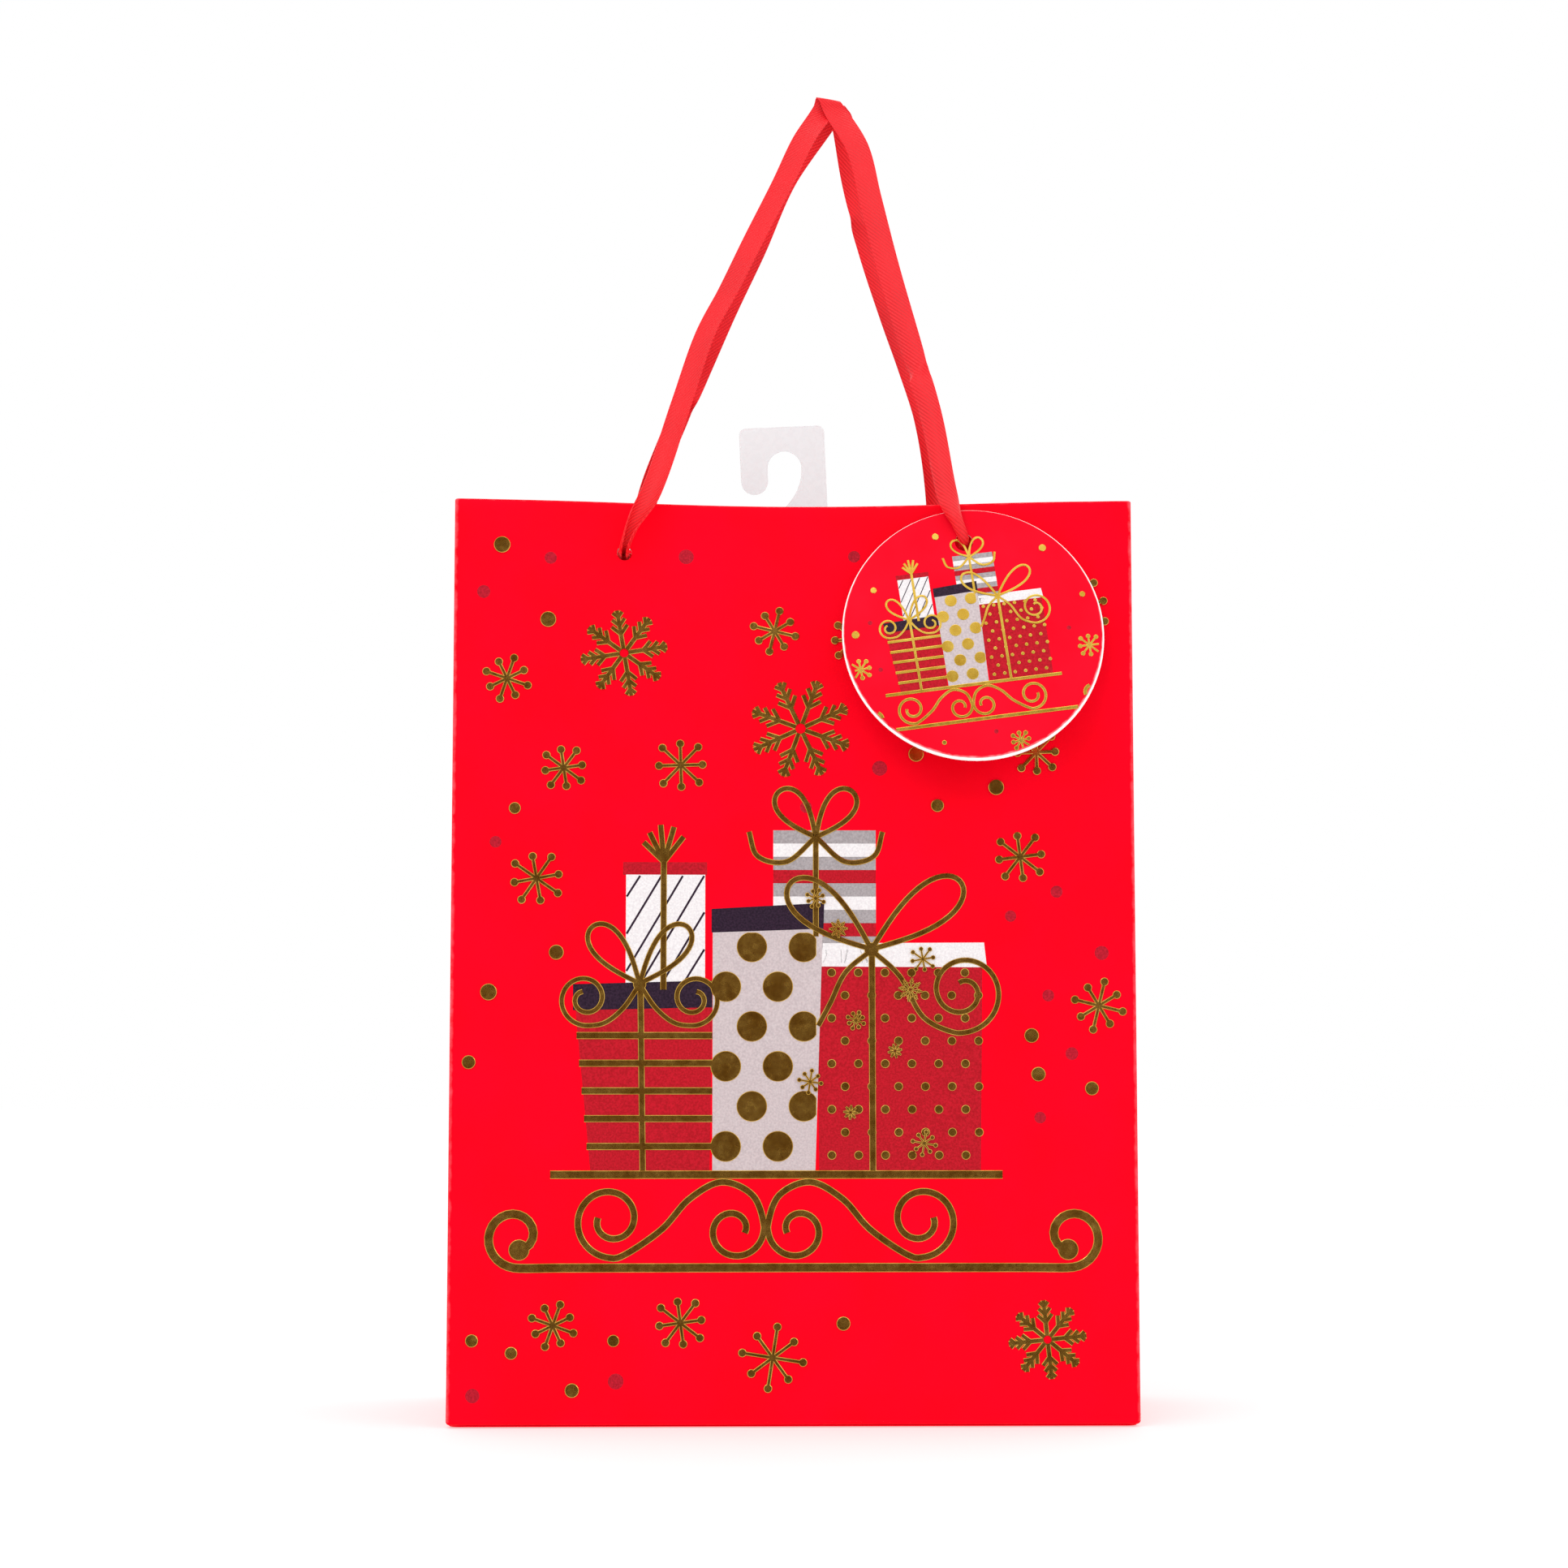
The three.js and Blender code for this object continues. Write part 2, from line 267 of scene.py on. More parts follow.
def bump(nodes, link, shader, height, strength, distance):
    bumps = nodes.new("ShaderNodeBump")
    bumps.inputs["Strength"].default_value = strength
    bumps.inputs["Distance"].default_value = distance
    link(height, bumps.inputs["Height"])
    link(bumps.outputs["Normal"], shader.inputs["Normal"])


def attribute(nodes, name):
    node = nodes.new("ShaderNodeAttribute")
    node.attribute_name = name
    return node.outputs["Fac"]


def coated_print(name, dark, light, painted_highlight_and_wear_tone):
    """Laminated print: fine grain, a faint mottle, and a paler tone along creases and edges: painted
    highlight where light would catch the rounded folds, broken up by noise like rubbed wear.
    """
    material, nodes, link, shader = principled(name, light, 0.42, Specular_IOR_Level=0.03)
    mottle = ramp(nodes, link, noise(nodes, link, 45, 4), 0.35, 0.7, (dark, light))
    # painted highlight with some wear: a per-point mask, broken up by noise, turns the print pale on folds
    # and rims
    painted_highlight_and_wear = product(nodes, link, attribute(nodes, "painted_highlight_and_wear"), noise(nodes, link, 420, 5))
    edge = ramp(nodes, link, painted_highlight_and_wear, 0.2, 0.62, (grey(0.0), grey(1.0)))
    link(mixed(nodes, link, edge, mottle, painted_highlight_and_wear_tone), shader.inputs["Base Color"])
    grain = noise(nodes, link, 2600, 2)
    rough = ramp(nodes, link, noise(nodes, link, 300, 3), 0.3, 0.7, (grey(0.36), grey(0.5)))
    link(rough, shader.inputs["Roughness"])
    bump(nodes, link, shader, grain, 0.12, 0.00006)
    return material


def plain_paper(name, dark, light, fibre=900):
    """Uncoated paper or card with short fibres."""
    material, nodes, link, shader = principled(name, light, 0.82)
    fibres = noise(nodes, link, fibre, 6, (1, 1, 0.35))
    link(ramp(nodes, link, fibres, 0.3, 0.7, (dark, light)), shader.inputs["Base Color"])
    bump(nodes, link, shader, fibres, 0.25, 0.00008)
    return material


def ink(name, dark, light):
    """Matte printing ink with the speckle of a fine halftone."""
    material, nodes, link, shader = principled(name, light, 0.48, Specular_IOR_Level=0.15)
    speckle = noise(nodes, link, 1900, 3)
    link(ramp(nodes, link, speckle, 0.36, 0.64, (dark, light)), shader.inputs["Base Color"])
    bump(nodes, link, shader, speckle, 0.08, 0.00004)
    return material


def stamped_foil(name, dark, light):
    """Hot-stamped gold foil, with the slight orange peel of the paper under it."""
    material, nodes, link, shader = principled(name, light, 0.2, 1.0)
    cloud = noise(nodes, link, 260, 3)
    link(ramp(nodes, link, cloud, 0.3, 0.7, (dark, light)), shader.inputs["Base Color"])
    rough = ramp(nodes, link, noise(nodes, link, 700, 3), 0.3, 0.75, (grey(0.2), grey(0.3)))
    link(rough, shader.inputs["Roughness"])
    bump(nodes, link, shader, noise(nodes, link, 900, 2), 0.12, 0.00003)
    return material


def satin_ribbon(name, dark, light):
    """Woven satin: diagonal twill over the strip's own length and width, with threads along it."""
    material, nodes, link, shader = principled(
        name, light, 0.42, Specular_IOR_Level=0.32, Sheen_Weight=0.2, Sheen_Roughness=0.35,
        Sheen_Tint=srgb(255, 150, 140)
    )
    strip = nodes.new("ShaderNodeCombineXYZ")
    link(attribute(nodes, "along"), strip.inputs[0])
    link(attribute(nodes, "across"), strip.inputs[1])
    turn = nodes.new("ShaderNodeMapping")
    turn.inputs["Rotation"].default_value = (0, 0, math.radians(57))
    link(strip.outputs[0], turn.inputs["Vector"])
    twill = nodes.new("ShaderNodeTexWave")
    twill.inputs["Scale"].default_value = 0.4  # a rib about every 0.8 mm
    twill.inputs["Distortion"].default_value = 0.6
    twill.inputs["Detail Scale"].default_value = 3.0
    link(turn.outputs[0], twill.inputs["Vector"])
    threads = nodes.new("ShaderNodeTexWave")
    threads.bands_direction = "Y"
    threads.inputs["Scale"].default_value = 1.5
    link(strip.outputs[0], threads.inputs["Vector"])
    weave = product(nodes, link, twill.outputs["Fac"], threads.outputs["Fac"])
    tone = ramp(nodes, link, twill.outputs["Fac"], 0.1, 0.9, (dark, light))
    broad = ramp(nodes, link, noise(nodes, link, 60, 2), 0.35, 0.65, (grey(0.86), grey(1.0)))
    shade = nodes.new("ShaderNodeMix")
    shade.data_type = "RGBA"
    shade.blend_type = "MULTIPLY"
    shade.inputs["Factor"].default_value = 1.0
    link(tone, shade.inputs[6])
    link(broad, shade.inputs[7])
    link(shade.outputs[2], shader.inputs["Base Color"])
    bump(nodes, link, shader, weave, 0.5, 0.00012)
    return material


def clear_film(name, colour):
    """Milky clear film, a little scuffed."""
    material, nodes, link, shader = principled(name, colour, 0.22, Alpha=0.42, Coat_Weight=0.3)
    cloud = noise(nodes, link, 500, 4)
    rough = ramp(nodes, link, cloud, 0.3, 0.75, (grey(0.16), grey(0.4)))
    link(rough, shader.inputs["Roughness"])
    bump(nodes, link, shader, cloud, 0.06, 0.0001)
    return material


# the last colour given to each coated print is its pale tone on folds and rims, painted highlight mixed with
# wear
RED = coated_print("laminated_red", srgb(246, 0, 26), srgb(252, 0, 32), srgb(255, 96, 108))
WHITE = plain_paper("paper_inside", srgb(226, 222, 216), srgb(246, 243, 238))
CORE = plain_paper("paper_core", srgb(236, 226, 222), srgb(250, 246, 244), 1500)
BOARD = plain_paper("stiffener_board", srgb(196, 188, 172), srgb(228, 222, 208), 700)
FOIL = stamped_foil("gold_foil", srgb(186, 138, 52), srgb(226, 184, 88))
# the same gold foil as on the walls with a brighter colour: painted brightness that stands in for the tag's
# tilt towards the light
TAG_FOIL_PAINTED_BRIGHTER = stamped_foil("gold_foil_on_tag_painted_brighter", srgb(222, 176, 60), srgb(246, 208, 92))
GREY = ink("ink_grey", srgb(186, 172, 174), srgb(202, 188, 189))
MID_GREY = ink("ink_mid_grey", srgb(150, 142, 144), srgb(170, 162, 164))
WHITE_INK = ink("ink_white", srgb(220, 214, 216), srgb(234, 230, 230))
WINE = ink("ink_wine", srgb(166, 2, 22), srgb(192, 10, 34))
PLUM = ink("ink_plum", srgb(34, 18, 36), srgb(52, 32, 52))
DULL = ink("ink_dull_red", srgb(160, 6, 30), srgb(190, 18, 42))
RIBBON = satin_ribbon("satin", srgb(222, 2, 20), srgb(255, 26, 38))
FILM = clear_film("film", srgb(240, 244, 247))
# the tag's print, whose pale last colour goes on the ring at the rim
TAG_RED = coated_print("tag_red", srgb(236, 6, 34), srgb(246, 14, 42), srgb(255, 176, 182))


# ---------------------------------------------------------------- camera, lights and floor

def add_camera():
    camera = bpy.data.objects.new("camera", bpy.data.cameras.new("camera"))
    camera.data.lens = 70
    camera.data.sensor_width = 36
    camera.data.shift_y = 0.0022
    camera.location = Vector((-19, -840, 90)) * MM
    aim = Vector((-2.6, -40, 166)) * MM
    camera.rotation_euler = (aim - camera.location).to_track_quat("-Z", "Y").to_euler()
    bpy.context.collection.objects.link(camera)
    bpy.context.scene.camera = camera


def add_softbox(name, place, aim, width, height, watts):
    data = bpy.data.lights.new(name, "AREA")
    data.shape = "RECTANGLE"
    data.size = width
    data.size_y = height
    data.energy = watts
    lamp = bpy.data.objects.new(name, data)
    lamp.location = place
    lamp.rotation_euler = (Vector(aim) - Vector(place)).to_track_quat("-Z", "Y").to_euler()
    bpy.context.collection.objects.link(lamp)


def add_studio():
    """A pale floor, soft lights, and a dark card behind the camera that only reflections see."""
    scene = bpy.context.scene
    scene.view_settings.view_transform = "Standard"
    world = bpy.data.worlds.new("studio")
    world.use_nodes = True
    world.node_tree.nodes["Background"].inputs["Color"].default_value = (1, 1, 1, 1)
    world.node_tree.nodes["Background"].inputs["Strength"].default_value = 1.0
    scene.world = world
    add_softbox("key", (-0.7, -1.5, 1.5), (0, 0, 0.15), 1.2, 0.9, 9)
    add_softbox("fill", (1.2, -1.1, 0.9), (0, 0, 0.15), 0.8, 0.8, 3)
    add_softbox("top", (0.1, 0.3, 1.8), (0, 0, 0.1), 1.2, 1.2, 5)
    floor_paint, nodes, link, shader = principled(
        "floor_paint", (0.55, 0.55, 0.55, 1), 0.9, Emission_Color=(1, 1, 1, 1), Emission_Strength=0.42
    )
    tone = ramp(nodes, link, noise(nodes, link, 3, 2), 0.3, 0.7, (grey(0.53), grey(0.57)))
    link(tone, shader.inputs["Base Color"])
    far = 8000
    low = -0.3  # just under the bag's own base
    corners = [(-far, -far, low), (far, -far, low), (far, far, low), (-far, far, low)]
    floor = make_mesh("studio_floor", corners, [(0, 1, 2, 3)], [floor_paint])
    floor.visible_glossy = False
    dark = principled("dark_card_paint", (0.11, 0.07, 0.05, 1), 0.9)[0]
    x, y, foot, top = 420, -1200, -520, 760
    corners = [(-x, y, foot), (x, y, foot), (x, y, top), (-x, y, top)]
    card = make_mesh("dark_card", corners, [(3, 2, 1, 0)], [dark])
    card.visible_camera = False
    card.visible_diffuse = False
    card.visible_shadow = False
    card.visible_transmission = False


# ---------------------------------------------------------------- paper sheets

def pinch(x, z):
    """How far a wall is drawn in at a point: the ribbons pull at its top, and the paper ripples a little."""
    x = min(max(x, -HALF_W), HALF_W)
    rise = min(max(z, 0), HEIGHT) / HEIGHT
    pull = PINCH * (1 + math.cos(math.pi * x / HALF_W)) / 2 * rise ** 3
    fade = math.cos(math.pi * x / (2 * HALF_W)) * math.sin(math.pi * rise)
    ripple = 0.3 * math.sin(x / 19 + 1.1) * math.sin(z / 37 + 0.4) * fade
    return pull + ripple + 0.5 * fade * fade


def roll_radius(x):
    return ROLL_END + (ROLL - ROLL_END) * smooth((FLAT - abs(x)) / 11)


def over_the_top(v, radius, off):
    """(depth, height) of a sheet that goes up the wall, over its top edge and down inside.
    v is the way along it, and off is how far under its printed face the point lies."""
    foot = HEIGHT - radius
    if v <= ROLL_FOOT:
        return off, v + (ROLL - radius) * smooth((v - ROLL_FOOT + 8) / 8)
    turn = min((v - ROLL_FOOT) / ROLL_SPAN * math.pi, math.pi)
    depth = radius - (radius - off) * math.cos(turn)
    if v <= HEM_START:
        return depth, foot + (radius - off) * math.sin(turn)
    down = v - HEM_START
    return depth, ROLL_FOOT - down + (ROLL - radius) * (1 - smooth(down / 8))


def wall_surface(side, back_crease=0.0):
    """The function from (across, along) of a wall's sheet to its point. side is -1 in front and 1 behind."""
    def surface(u, v, off):
        across = max(-FLAT, min(FLAT, u))
        depth, z = over_the_top(v, roll_radius(across), off)
        turn = (abs(u) - FLAT) / CORNER
        x = across
        inward = depth
        if turn > 0:
            x = math.copysign(FLAT + (CORNER - depth) * math.sin(turn), u)
            inward = CORNER - (CORNER - depth) * math.cos(turn)
        ridge = back_crease * math.exp(-((z - CREASE_Z) / 1.1) ** 2) if v < ROLL_FOOT else 0
        drop = 0.9 * (1 + math.cos(math.pi * across / HALF_W)) / 2 * (z / HEIGHT) ** 8
        return (x, side * (HALF_D - inward - pinch(x, z) + ridge), z - drop)
    return surface


def gusset_in(y, z):
    """How far a gusset stands in: a V towards its middle crease, over a flat triangle at its foot."""
    opened = 1 - min(abs(y), GUSSET_REACH) / GUSSET_REACH
    over_triangle = smooth((z - 30 * (1 - opened)) / 120)
    return CREASE_IN * opened * over_triangle * (0.35 + 0.65 * z / HEIGHT)


def gusset_surface(x_side, y_side):
    """The function for half a gusset: across runs from the corner crease, 0, to the middle crease."""
    def surface(u, v, off):
        depth, z = over_the_top(v, ROLL_END, off)
        y = max(GUSSET_REACH - u, 0.02)
        diagonal = (y / GUSSET_REACH + z / HALF_D - 1) * 27
        ridge = 0.28 * math.exp(-(diagonal / 1.0) ** 2) if v < ROLL_FOOT else 0
        return (x_side * (HALF_W - depth - gusset_in(y, z) + ridge), y_side * y, z)
    return surface


def triangulate(points, loops, lines=(), holes=()):
    """Delaunay triangles over 2-D points: loops and lines stay as edges, and nothing lies in a hole."""
    coords = [Vector(p) for p in points]
    edges = []
    for path, closed in [(p, True) for p in loops] + [(p, False) for p in lines]:
        first = len(coords)
        coords += [Vector(p) for p in path]
        count = len(path)
        edges += [(first + i, first + (i + 1) % count) for i in range(count if closed else count - 1)]
    found = delaunay_2d_cdt(coords, edges, [], 0, 1e-4)
    flat = np.array([(p.x, p.y) for p in found[0]])
    kept = []
    for face in found[2]:
        corner = flat[list(face)]
        middle = corner.mean(0)
        if any(math.hypot(*(middle - h[:2])) < h[2] * 0.999 for h in holes):
            continue
        a, b = corner[1] - corner[0], corner[2] - corner[0]
        kept.append(tuple(face) if a[0] * b[1] > a[1] * b[0] else tuple(reversed(face)))
    return flat, kept


def compacted(flat, triangles):
    """The points that triangles use, and the triangles renumbered to them."""
    used = sorted({i for t in triangles for i in t})
    place = {old: new for new, old in enumerate(used)}
    return flat[used], [tuple(place[i] for i in t) for t in triangles]


def thickened(triangles, count, mirrored):
    """Faces, and the kind of each, of a sheet whose back is its front's points again, count further on."""
    faces, kinds = [], []
    directed = set()
    for a, b, c in triangles:
        directed.update(((a, b), (b, c), (c, a)))
        faces += [(a, b, c), (a + count, c + count, b + count)]
        kinds += [0, 1]
    for a, b in sorted(directed):
        if (b, a) not in directed:
            faces.append((b, a, a + count, b + count))
            kinds.append(2)
    if mirrored:
        faces = [tuple(reversed(f)) for f in faces]
    return faces, kinds


def sheet(name, columns, rows, surface, mirrored, materials, holes=(), lines=(), thick=PAPER, painted_highlight_and_wear=None):
    """A sheet with real thickness over a grid of (across, along) values, with round holes.
    materials are for its printed face, its other face and its cut edges."""
    near = [(h[0], h[1], h[2] * 1.7) for h in holes]
    grid = [(u, v) for v in rows for u in columns]
    grid = [p for p in grid if all(math.hypot(p[0] - x, p[1] - y) > r for x, y, r in near)]
    loops = [ring(*h, 28) for h in holes] + [ring(*h, 20) for h in [(x, y, r * 0.82) for x, y, r in near]]
    flat, triangles = triangulate(grid, loops, lines, holes)
    flat, triangles = compacted(flat, triangles)
    points = [surface(u, v, 0.0) for u, v in flat] + [surface(u, v, thick) for u, v in flat]
    faces, kinds = thickened(triangles, len(flat), mirrored)
    painted_highlight_and_wear_tone = [painted_highlight_and_wear(u, v) if painted_highlight_and_wear else 0.0 for u, v in flat] * 2
    return make_mesh(name, points, faces, materials, kinds, {"painted_highlight_and_wear": painted_highlight_and_wear_tone})


def rows_up(bottom, step):
    """Values along a sheet: up the wall, round the top edge, and down the hem."""
    up = list(np.linspace(bottom, ROLL_FOOT - 8, int((ROLL_FOOT - 8 - bottom) / step) + 1))
    near = list(np.linspace(ROLL_FOOT - 8, ROLL_FOOT, 4))[1:]
    bend = list(np.linspace(ROLL_FOOT, HEM_START, 9))[1:]
    down = list(np.linspace(HEM_START, HEM_START + 8, 4))[1:]
    hem = list(np.linspace(HEM_START + 8, HEM_START + HEM - 1, 7))[1:]
    return up + near + bend + down + hem


def wall_painted_highlight_and_wear(u, v):
    # Pale tone on the upright corner creases and the rolled top edge: painted highlight on the rounded folds,
    # with some wear; a faint 0.05 everywhere.
    corner = math.exp(-((abs(u) - FLAT - ARC / 2) / 0.9) ** 2)
    top = math.exp(-((v - ROLL_FOOT - 1.2) / 1.1) ** 2)
    return min(1.0, 0.7 * corner + 0.5 * top + 0.05)


def gusset_painted_highlight_and_wear(u, v):
    # Pale tone on the gusset's middle crease and its rolled top edge: painted highlight on the folds, with
    # some wear.
    crease = math.exp(-((u - GUSSET_REACH) / 0.8) ** 2)
    top = math.exp(-((v - ROLL_FOOT - 1.2) / 1.1) ** 2)
    return min(1.0, 0.5 * crease + 0.4 * top)


def flatten(obj):
    """Gives a piece its own copy of its mesh."""
    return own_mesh(obj)


def add_wall(name, side, surface):
    """A wall's sheet with its hem, and the stiffener card inside the top fold."""
    arc = np.linspace(FLAT, FLAT + ARC, 6)[1:]
    columns = [*(-arc[::-1]), *np.linspace(-FLAT, FLAT, 47), *arc]
    holes = [(x, v, HOLE_RADIUS) for x in (-HOLE_X, HOLE_X) for v in (HOLE_Z, HEM_HOLE)]
    crease_rows = {40.9, CREASE_Z, 43.1} if side > 0 else set()
    rows = sorted(set(rows_up(CORNER, 5)) | crease_rows)
    wall = sheet(f"{name}_sheet", columns, rows, surface, side > 0, [RED, WHITE, CORE], holes, painted_highlight_and_wear=wall_painted_highlight_and_wear)
    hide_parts(f"{name}_panel", f"{name}_hem")

    def card_surface(u, v, off):
        return surface(u, v, CARD_DEPTH + off)

    wide = HALF_W - CARD_SIDE
    columns = np.linspace(-wide, wide, 30)
    rows = np.linspace(HEIGHT - HEM + 5, ROLL_FOOT - 0.4, 8)
    holes = [(x, HOLE_Z, HOLE_RADIUS) for x in (-HOLE_X, HOLE_X)]
    card = sheet(f"{name}_card", columns, rows, card_surface, side > 0, [BOARD] * 3, holes, thick=CARD)
    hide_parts(f"{name}_top_card")
    for piece in (wall, card):
        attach(piece, f"{name}_wall")
        flatten(piece)


def add_gusset(side, x_side, half, y_side):
    """Half a gusset with its hem, and the flattened diagonal crease at its foot. Gives its surface."""
    columns = np.linspace(0, GUSSET_REACH, 11)
    diagonal = [(GUSSET_REACH * t, CORNER + GUSSET_REACH * t) for t in np.linspace(0.02, 0.98, 16)]
    name = f"{side}_gusset_{half}"
    surface = gusset_surface(x_side, y_side)
    mirrored = (x_side < 0) == (y_side < 0)
    piece = sheet(
        f"{name}_sheet", columns, rows_up(CORNER, 5), surface, mirrored,
        [RED, WHITE, CORE], lines=[diagonal], painted_highlight_and_wear=gusset_painted_highlight_and_wear,
    )
    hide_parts(name, f"{name}_hem")
    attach(piece, name)
    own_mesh(piece)
    return surface


def rounded_rectangle(half_x, half_y, radius, corner_points):
    outline = []
    for k in range(4):
        cx = (half_x - radius) * (1 if k in (0, 3) else -1)
        cy = (half_y - radius) * (1 if k in (0, 1) else -1)
        for a in np.linspace(k * math.pi / 2, (k + 1) * math.pi / 2, corner_points):
            outline.append((cx + radius * math.cos(a), cy + radius * math.sin(a)))
    return outline


def lofted(name, loops, materials, kinds_by_band=None):
    """A closed body through matching loops of points, capped at both ends."""
    count = len(loops[0])
    points = [p for loop in loops for p in loop]
    faces, kinds = [tuple(range(count))[::-1]], [0]
    for k in range(len(loops) - 1):
        for i in range(count):
            j = (i + 1) % count
            faces.append((k * count + i, k * count + j, (k + 1) * count + j, (k + 1) * count + i))
            kinds.append(kinds_by_band[k] if kinds_by_band else 0)
    faces.append(tuple(range((len(loops) - 1) * count, len(loops) * count)))
    kinds.append(kinds_by_band[-1] if kinds_by_band else 0)
    return make_mesh(name, points, faces, materials, kinds, {"painted_highlight_and_wear": [0.0] * len(points)})


def plate(half_x, half_y, radius, low, high, ease):
    """Loops of a plate with rounded corners and slightly eased edges."""
    levels = [(ease, low), (0, low + ease), (0, high - ease), (ease, high)]
    loops = []
    for inset, z in levels:
        outline = rounded_rectangle(half_x - inset, half_y - inset, max(radius - inset, 0.05), 5)
        loops.append([(x, y, z) for x, y in outline])
    return loops


def add_base():
    """The bottom paper turns up into the walls with rounded rims; a flap lies under it and a board on it."""
    lift = 0.3
    outer = []
    for turn in np.linspace(0, math.pi / 2, 5):
        inset = CORNER * (1 - math.sin(turn))
        z = lift + (CORNER - lift) * (1 - math.cos(turn))
        outer.append((inset, z))
    body = []
    for inset, z in outer:
        outline = rounded_rectangle(HALF_W - inset, HALF_D - inset, CORNER * 1.02, 5)
        body.append([(x, y, z) for x, y in outline])
    for inset, z in reversed(outer):
        shape = rounded_rectangle(HALF_W - max(inset, PAPER), HALF_D - max(inset, PAPER), CORNER, 5)
        body.append([(x, y, max(z, lift + PAPER)) for x, y in shape])
    bands = [0] * (len(outer) - 1) + [1] * len(outer) + [1]
    paper = lofted("base_paper", body, [RED, WHITE], bands)
    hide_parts("base_rear_flap")
    flap_front, flap_rear = -39.2, 20.0
    middle = (flap_rear + flap_front) / 2
    flap_loops = plate(HALF_W - 0.7, (flap_rear - flap_front) / 2, 3, 0.0, 0.27, 0.05)
    flap_loops = [[(x, y + middle, z) for x, y, z in loop] for loop in flap_loops]
    flap = lofted("base_flap", flap_loops, [RED])
    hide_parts("base_front_flap")
    board = lofted("base_insert", plate(HALF_W - 3, HALF_D - 3, 2.5, 2.1, 2.9, 0.12), [BOARD])
    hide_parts("base_board")
    for piece, slot in ((paper, "printed_paper"), (flap, "printed_paper"), (board, "stiffener_card")):
        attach(piece, "base")


def repaint(node, material):
    """A CAD node whose shape is right keeps it, with a better material."""
    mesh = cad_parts[node].data
    mesh.materials.clear()
    mesh.materials.append(material)


# ---------------------------------------------------------------- ribbons

CURLED = 5.2  # radians that a strip's section turns through where it is gathered into a hole
ROLLED_FOR = 7.0  # a strip stays gathered for this long at its ends
OPENS_OVER = 17.0  # and opens to its own section over this length

# Points (x, z) that the legs of each handle pass, and the fold at its top: its x, and how much it rises
FRONT_WAYS = {
    "left": [(-37.8, 244), (-30, 269), (-23.3, 290), (-17.4, 302), (-10.6, 317), (-2.6, 334), (3.6, 348)],
    "right": [(18.6, 346), (22, 330), (26.4, 309.5), (32, 286.5), (37.0, 266), (40.7, 244)],
    "fold": (10.2, 1.3),
}
BACK_WAYS = {
    "left": [(-42.8, 244), (-41, 257), (-34.6, 273), (-26.2, 290), (-17.8, 307.5), (-9.8, 323), (-1.2, 341)],
    "right": [(17.8, 341), (22.4, 324), (29.0, 306), (34.2, 293), (38.8, 280.5), (41.6, 269), (43.4, 256.5),
              (44, 244)],
    "fold": (12.2, 0.0),
}


def ribbon_route(side, ways, wall, right_hole):
    """A ribbon's centre line: from inside the left hole, up, over the fold at its top, and down the right."""
    def lean(x, z):
        share = (z - BEND_Z) / (HANDLE_TOP - BEND_Z)
        return (x, side * (BEND_Y - share * (BEND_Y - 1.6)), BEND_Z + (z - BEND_Z) * STRETCH)

    def into_hole(x, y_out, z, toward):
        wall_y = wall(x, HOLE_Z, 0)[1] * side
        inside = (x, side * (wall_y - 5.2), HOLE_Z - 1.0)
        back = (x, side * (wall_y - 1.2), HOLE_Z - 0.2)
        lip = (x + toward * 0.3, side * (y_out + 1.2), z + 1.3)
        up = (x + toward * 2.2, side * (BEND_Y + 0.35 + (y_out - HALF_D) * 0.84), z + 6)
        return [inside, back, (x, side * (y_out - 0.4), z + 0.4), lip, up]

    x, rise = ways["fold"]
    top = BEND_Z + (HANDLE_TOP - BEND_Z) * STRETCH - 0.8 + rise * 0.2
    fold = [(x - 0.6, side * 1.1, top - 2.2), (x, side * 1.25, top), (x + 0.2, side * 1.9, top + 0.3),
            (x + 0.8, side * 2.6, top - 0.2), (x + 2.2, side * 2.7, top - 3)]
    left = into_hole(-HOLE_X, HALF_D, HOLE_Z, 1)
    right = into_hole(HOLE_X, *right_hole, -1)
    legs = [[lean(*p) for p in ways[k]] for k in ("left", "right")]
    return smooth_line(left + legs[0] + fold + legs[1] + right[::-1], 0.9)


def strip_sections(line, turns, curls, fold_at, kinks, right_neck):
    """The ribbon's grid of points: each section is an arc that opens and closes along the strip.
    turns and curls say how it twists and how far it arches, in radians: (share of length, angle).
    A kink is a sharp crease across the strip, left by its packing: (share of length, turn).
    The right end stays rolled up for right_neck mm more than the left one."""
    run = run_along(line)
    tangent = unit(np.gradient(line, axis=0))
    total = run[-1]
    crease = np.array((0.985, 0, -0.17))
    rows = []
    for p, t, s in zip(line, tangent, run):
        near_fold = math.exp(-((s - fold_at) / 5.0) ** 2)
        right = unit(np.array((1.0, 0, 0)) - t[0] * t)
        normal = np.cross(t, right)
        twist = float(np.interp(s / total, [k[0] for k in turns], [k[1] for k in turns])) * (1 - near_fold)
        pinched = 0.0
        for share, turn in kinks:
            gap = (s - share * total) / 1.3
            twist += turn * math.exp(-(gap / 4) ** 2) * math.tanh(gap)
            pinched += math.exp(-gap * gap)
        across = right * math.cos(twist) + normal * math.sin(twist)
        across = unit(across * (1 - near_fold) + crease * near_fold)
        normal = unit(np.cross(t, across))
        end = min(s, total - s - right_neck)
        curl = float(np.interp(s / total, [k[0] for k in curls], [k[1] for k in curls]))
        curl = curl + (CURLED - curl) * (1 - smooth((end - ROLLED_FOR) / OPENS_OVER))
        curl = max(curl * (1 - 0.85 * near_fold), 0.12) + 0.9 * pinched
        radius = RIBBON_WIDTH / curl
        row = []
        for u in np.linspace(-0.5, 0.5, 13):
            angle = u * curl
            rise = radius * (math.cos(angle) - math.sin(curl / 2) / (curl / 2))
            row.append(p + across * radius * math.sin(angle) + normal * rise)
        rows.append(row)
    return np.array(rows), run


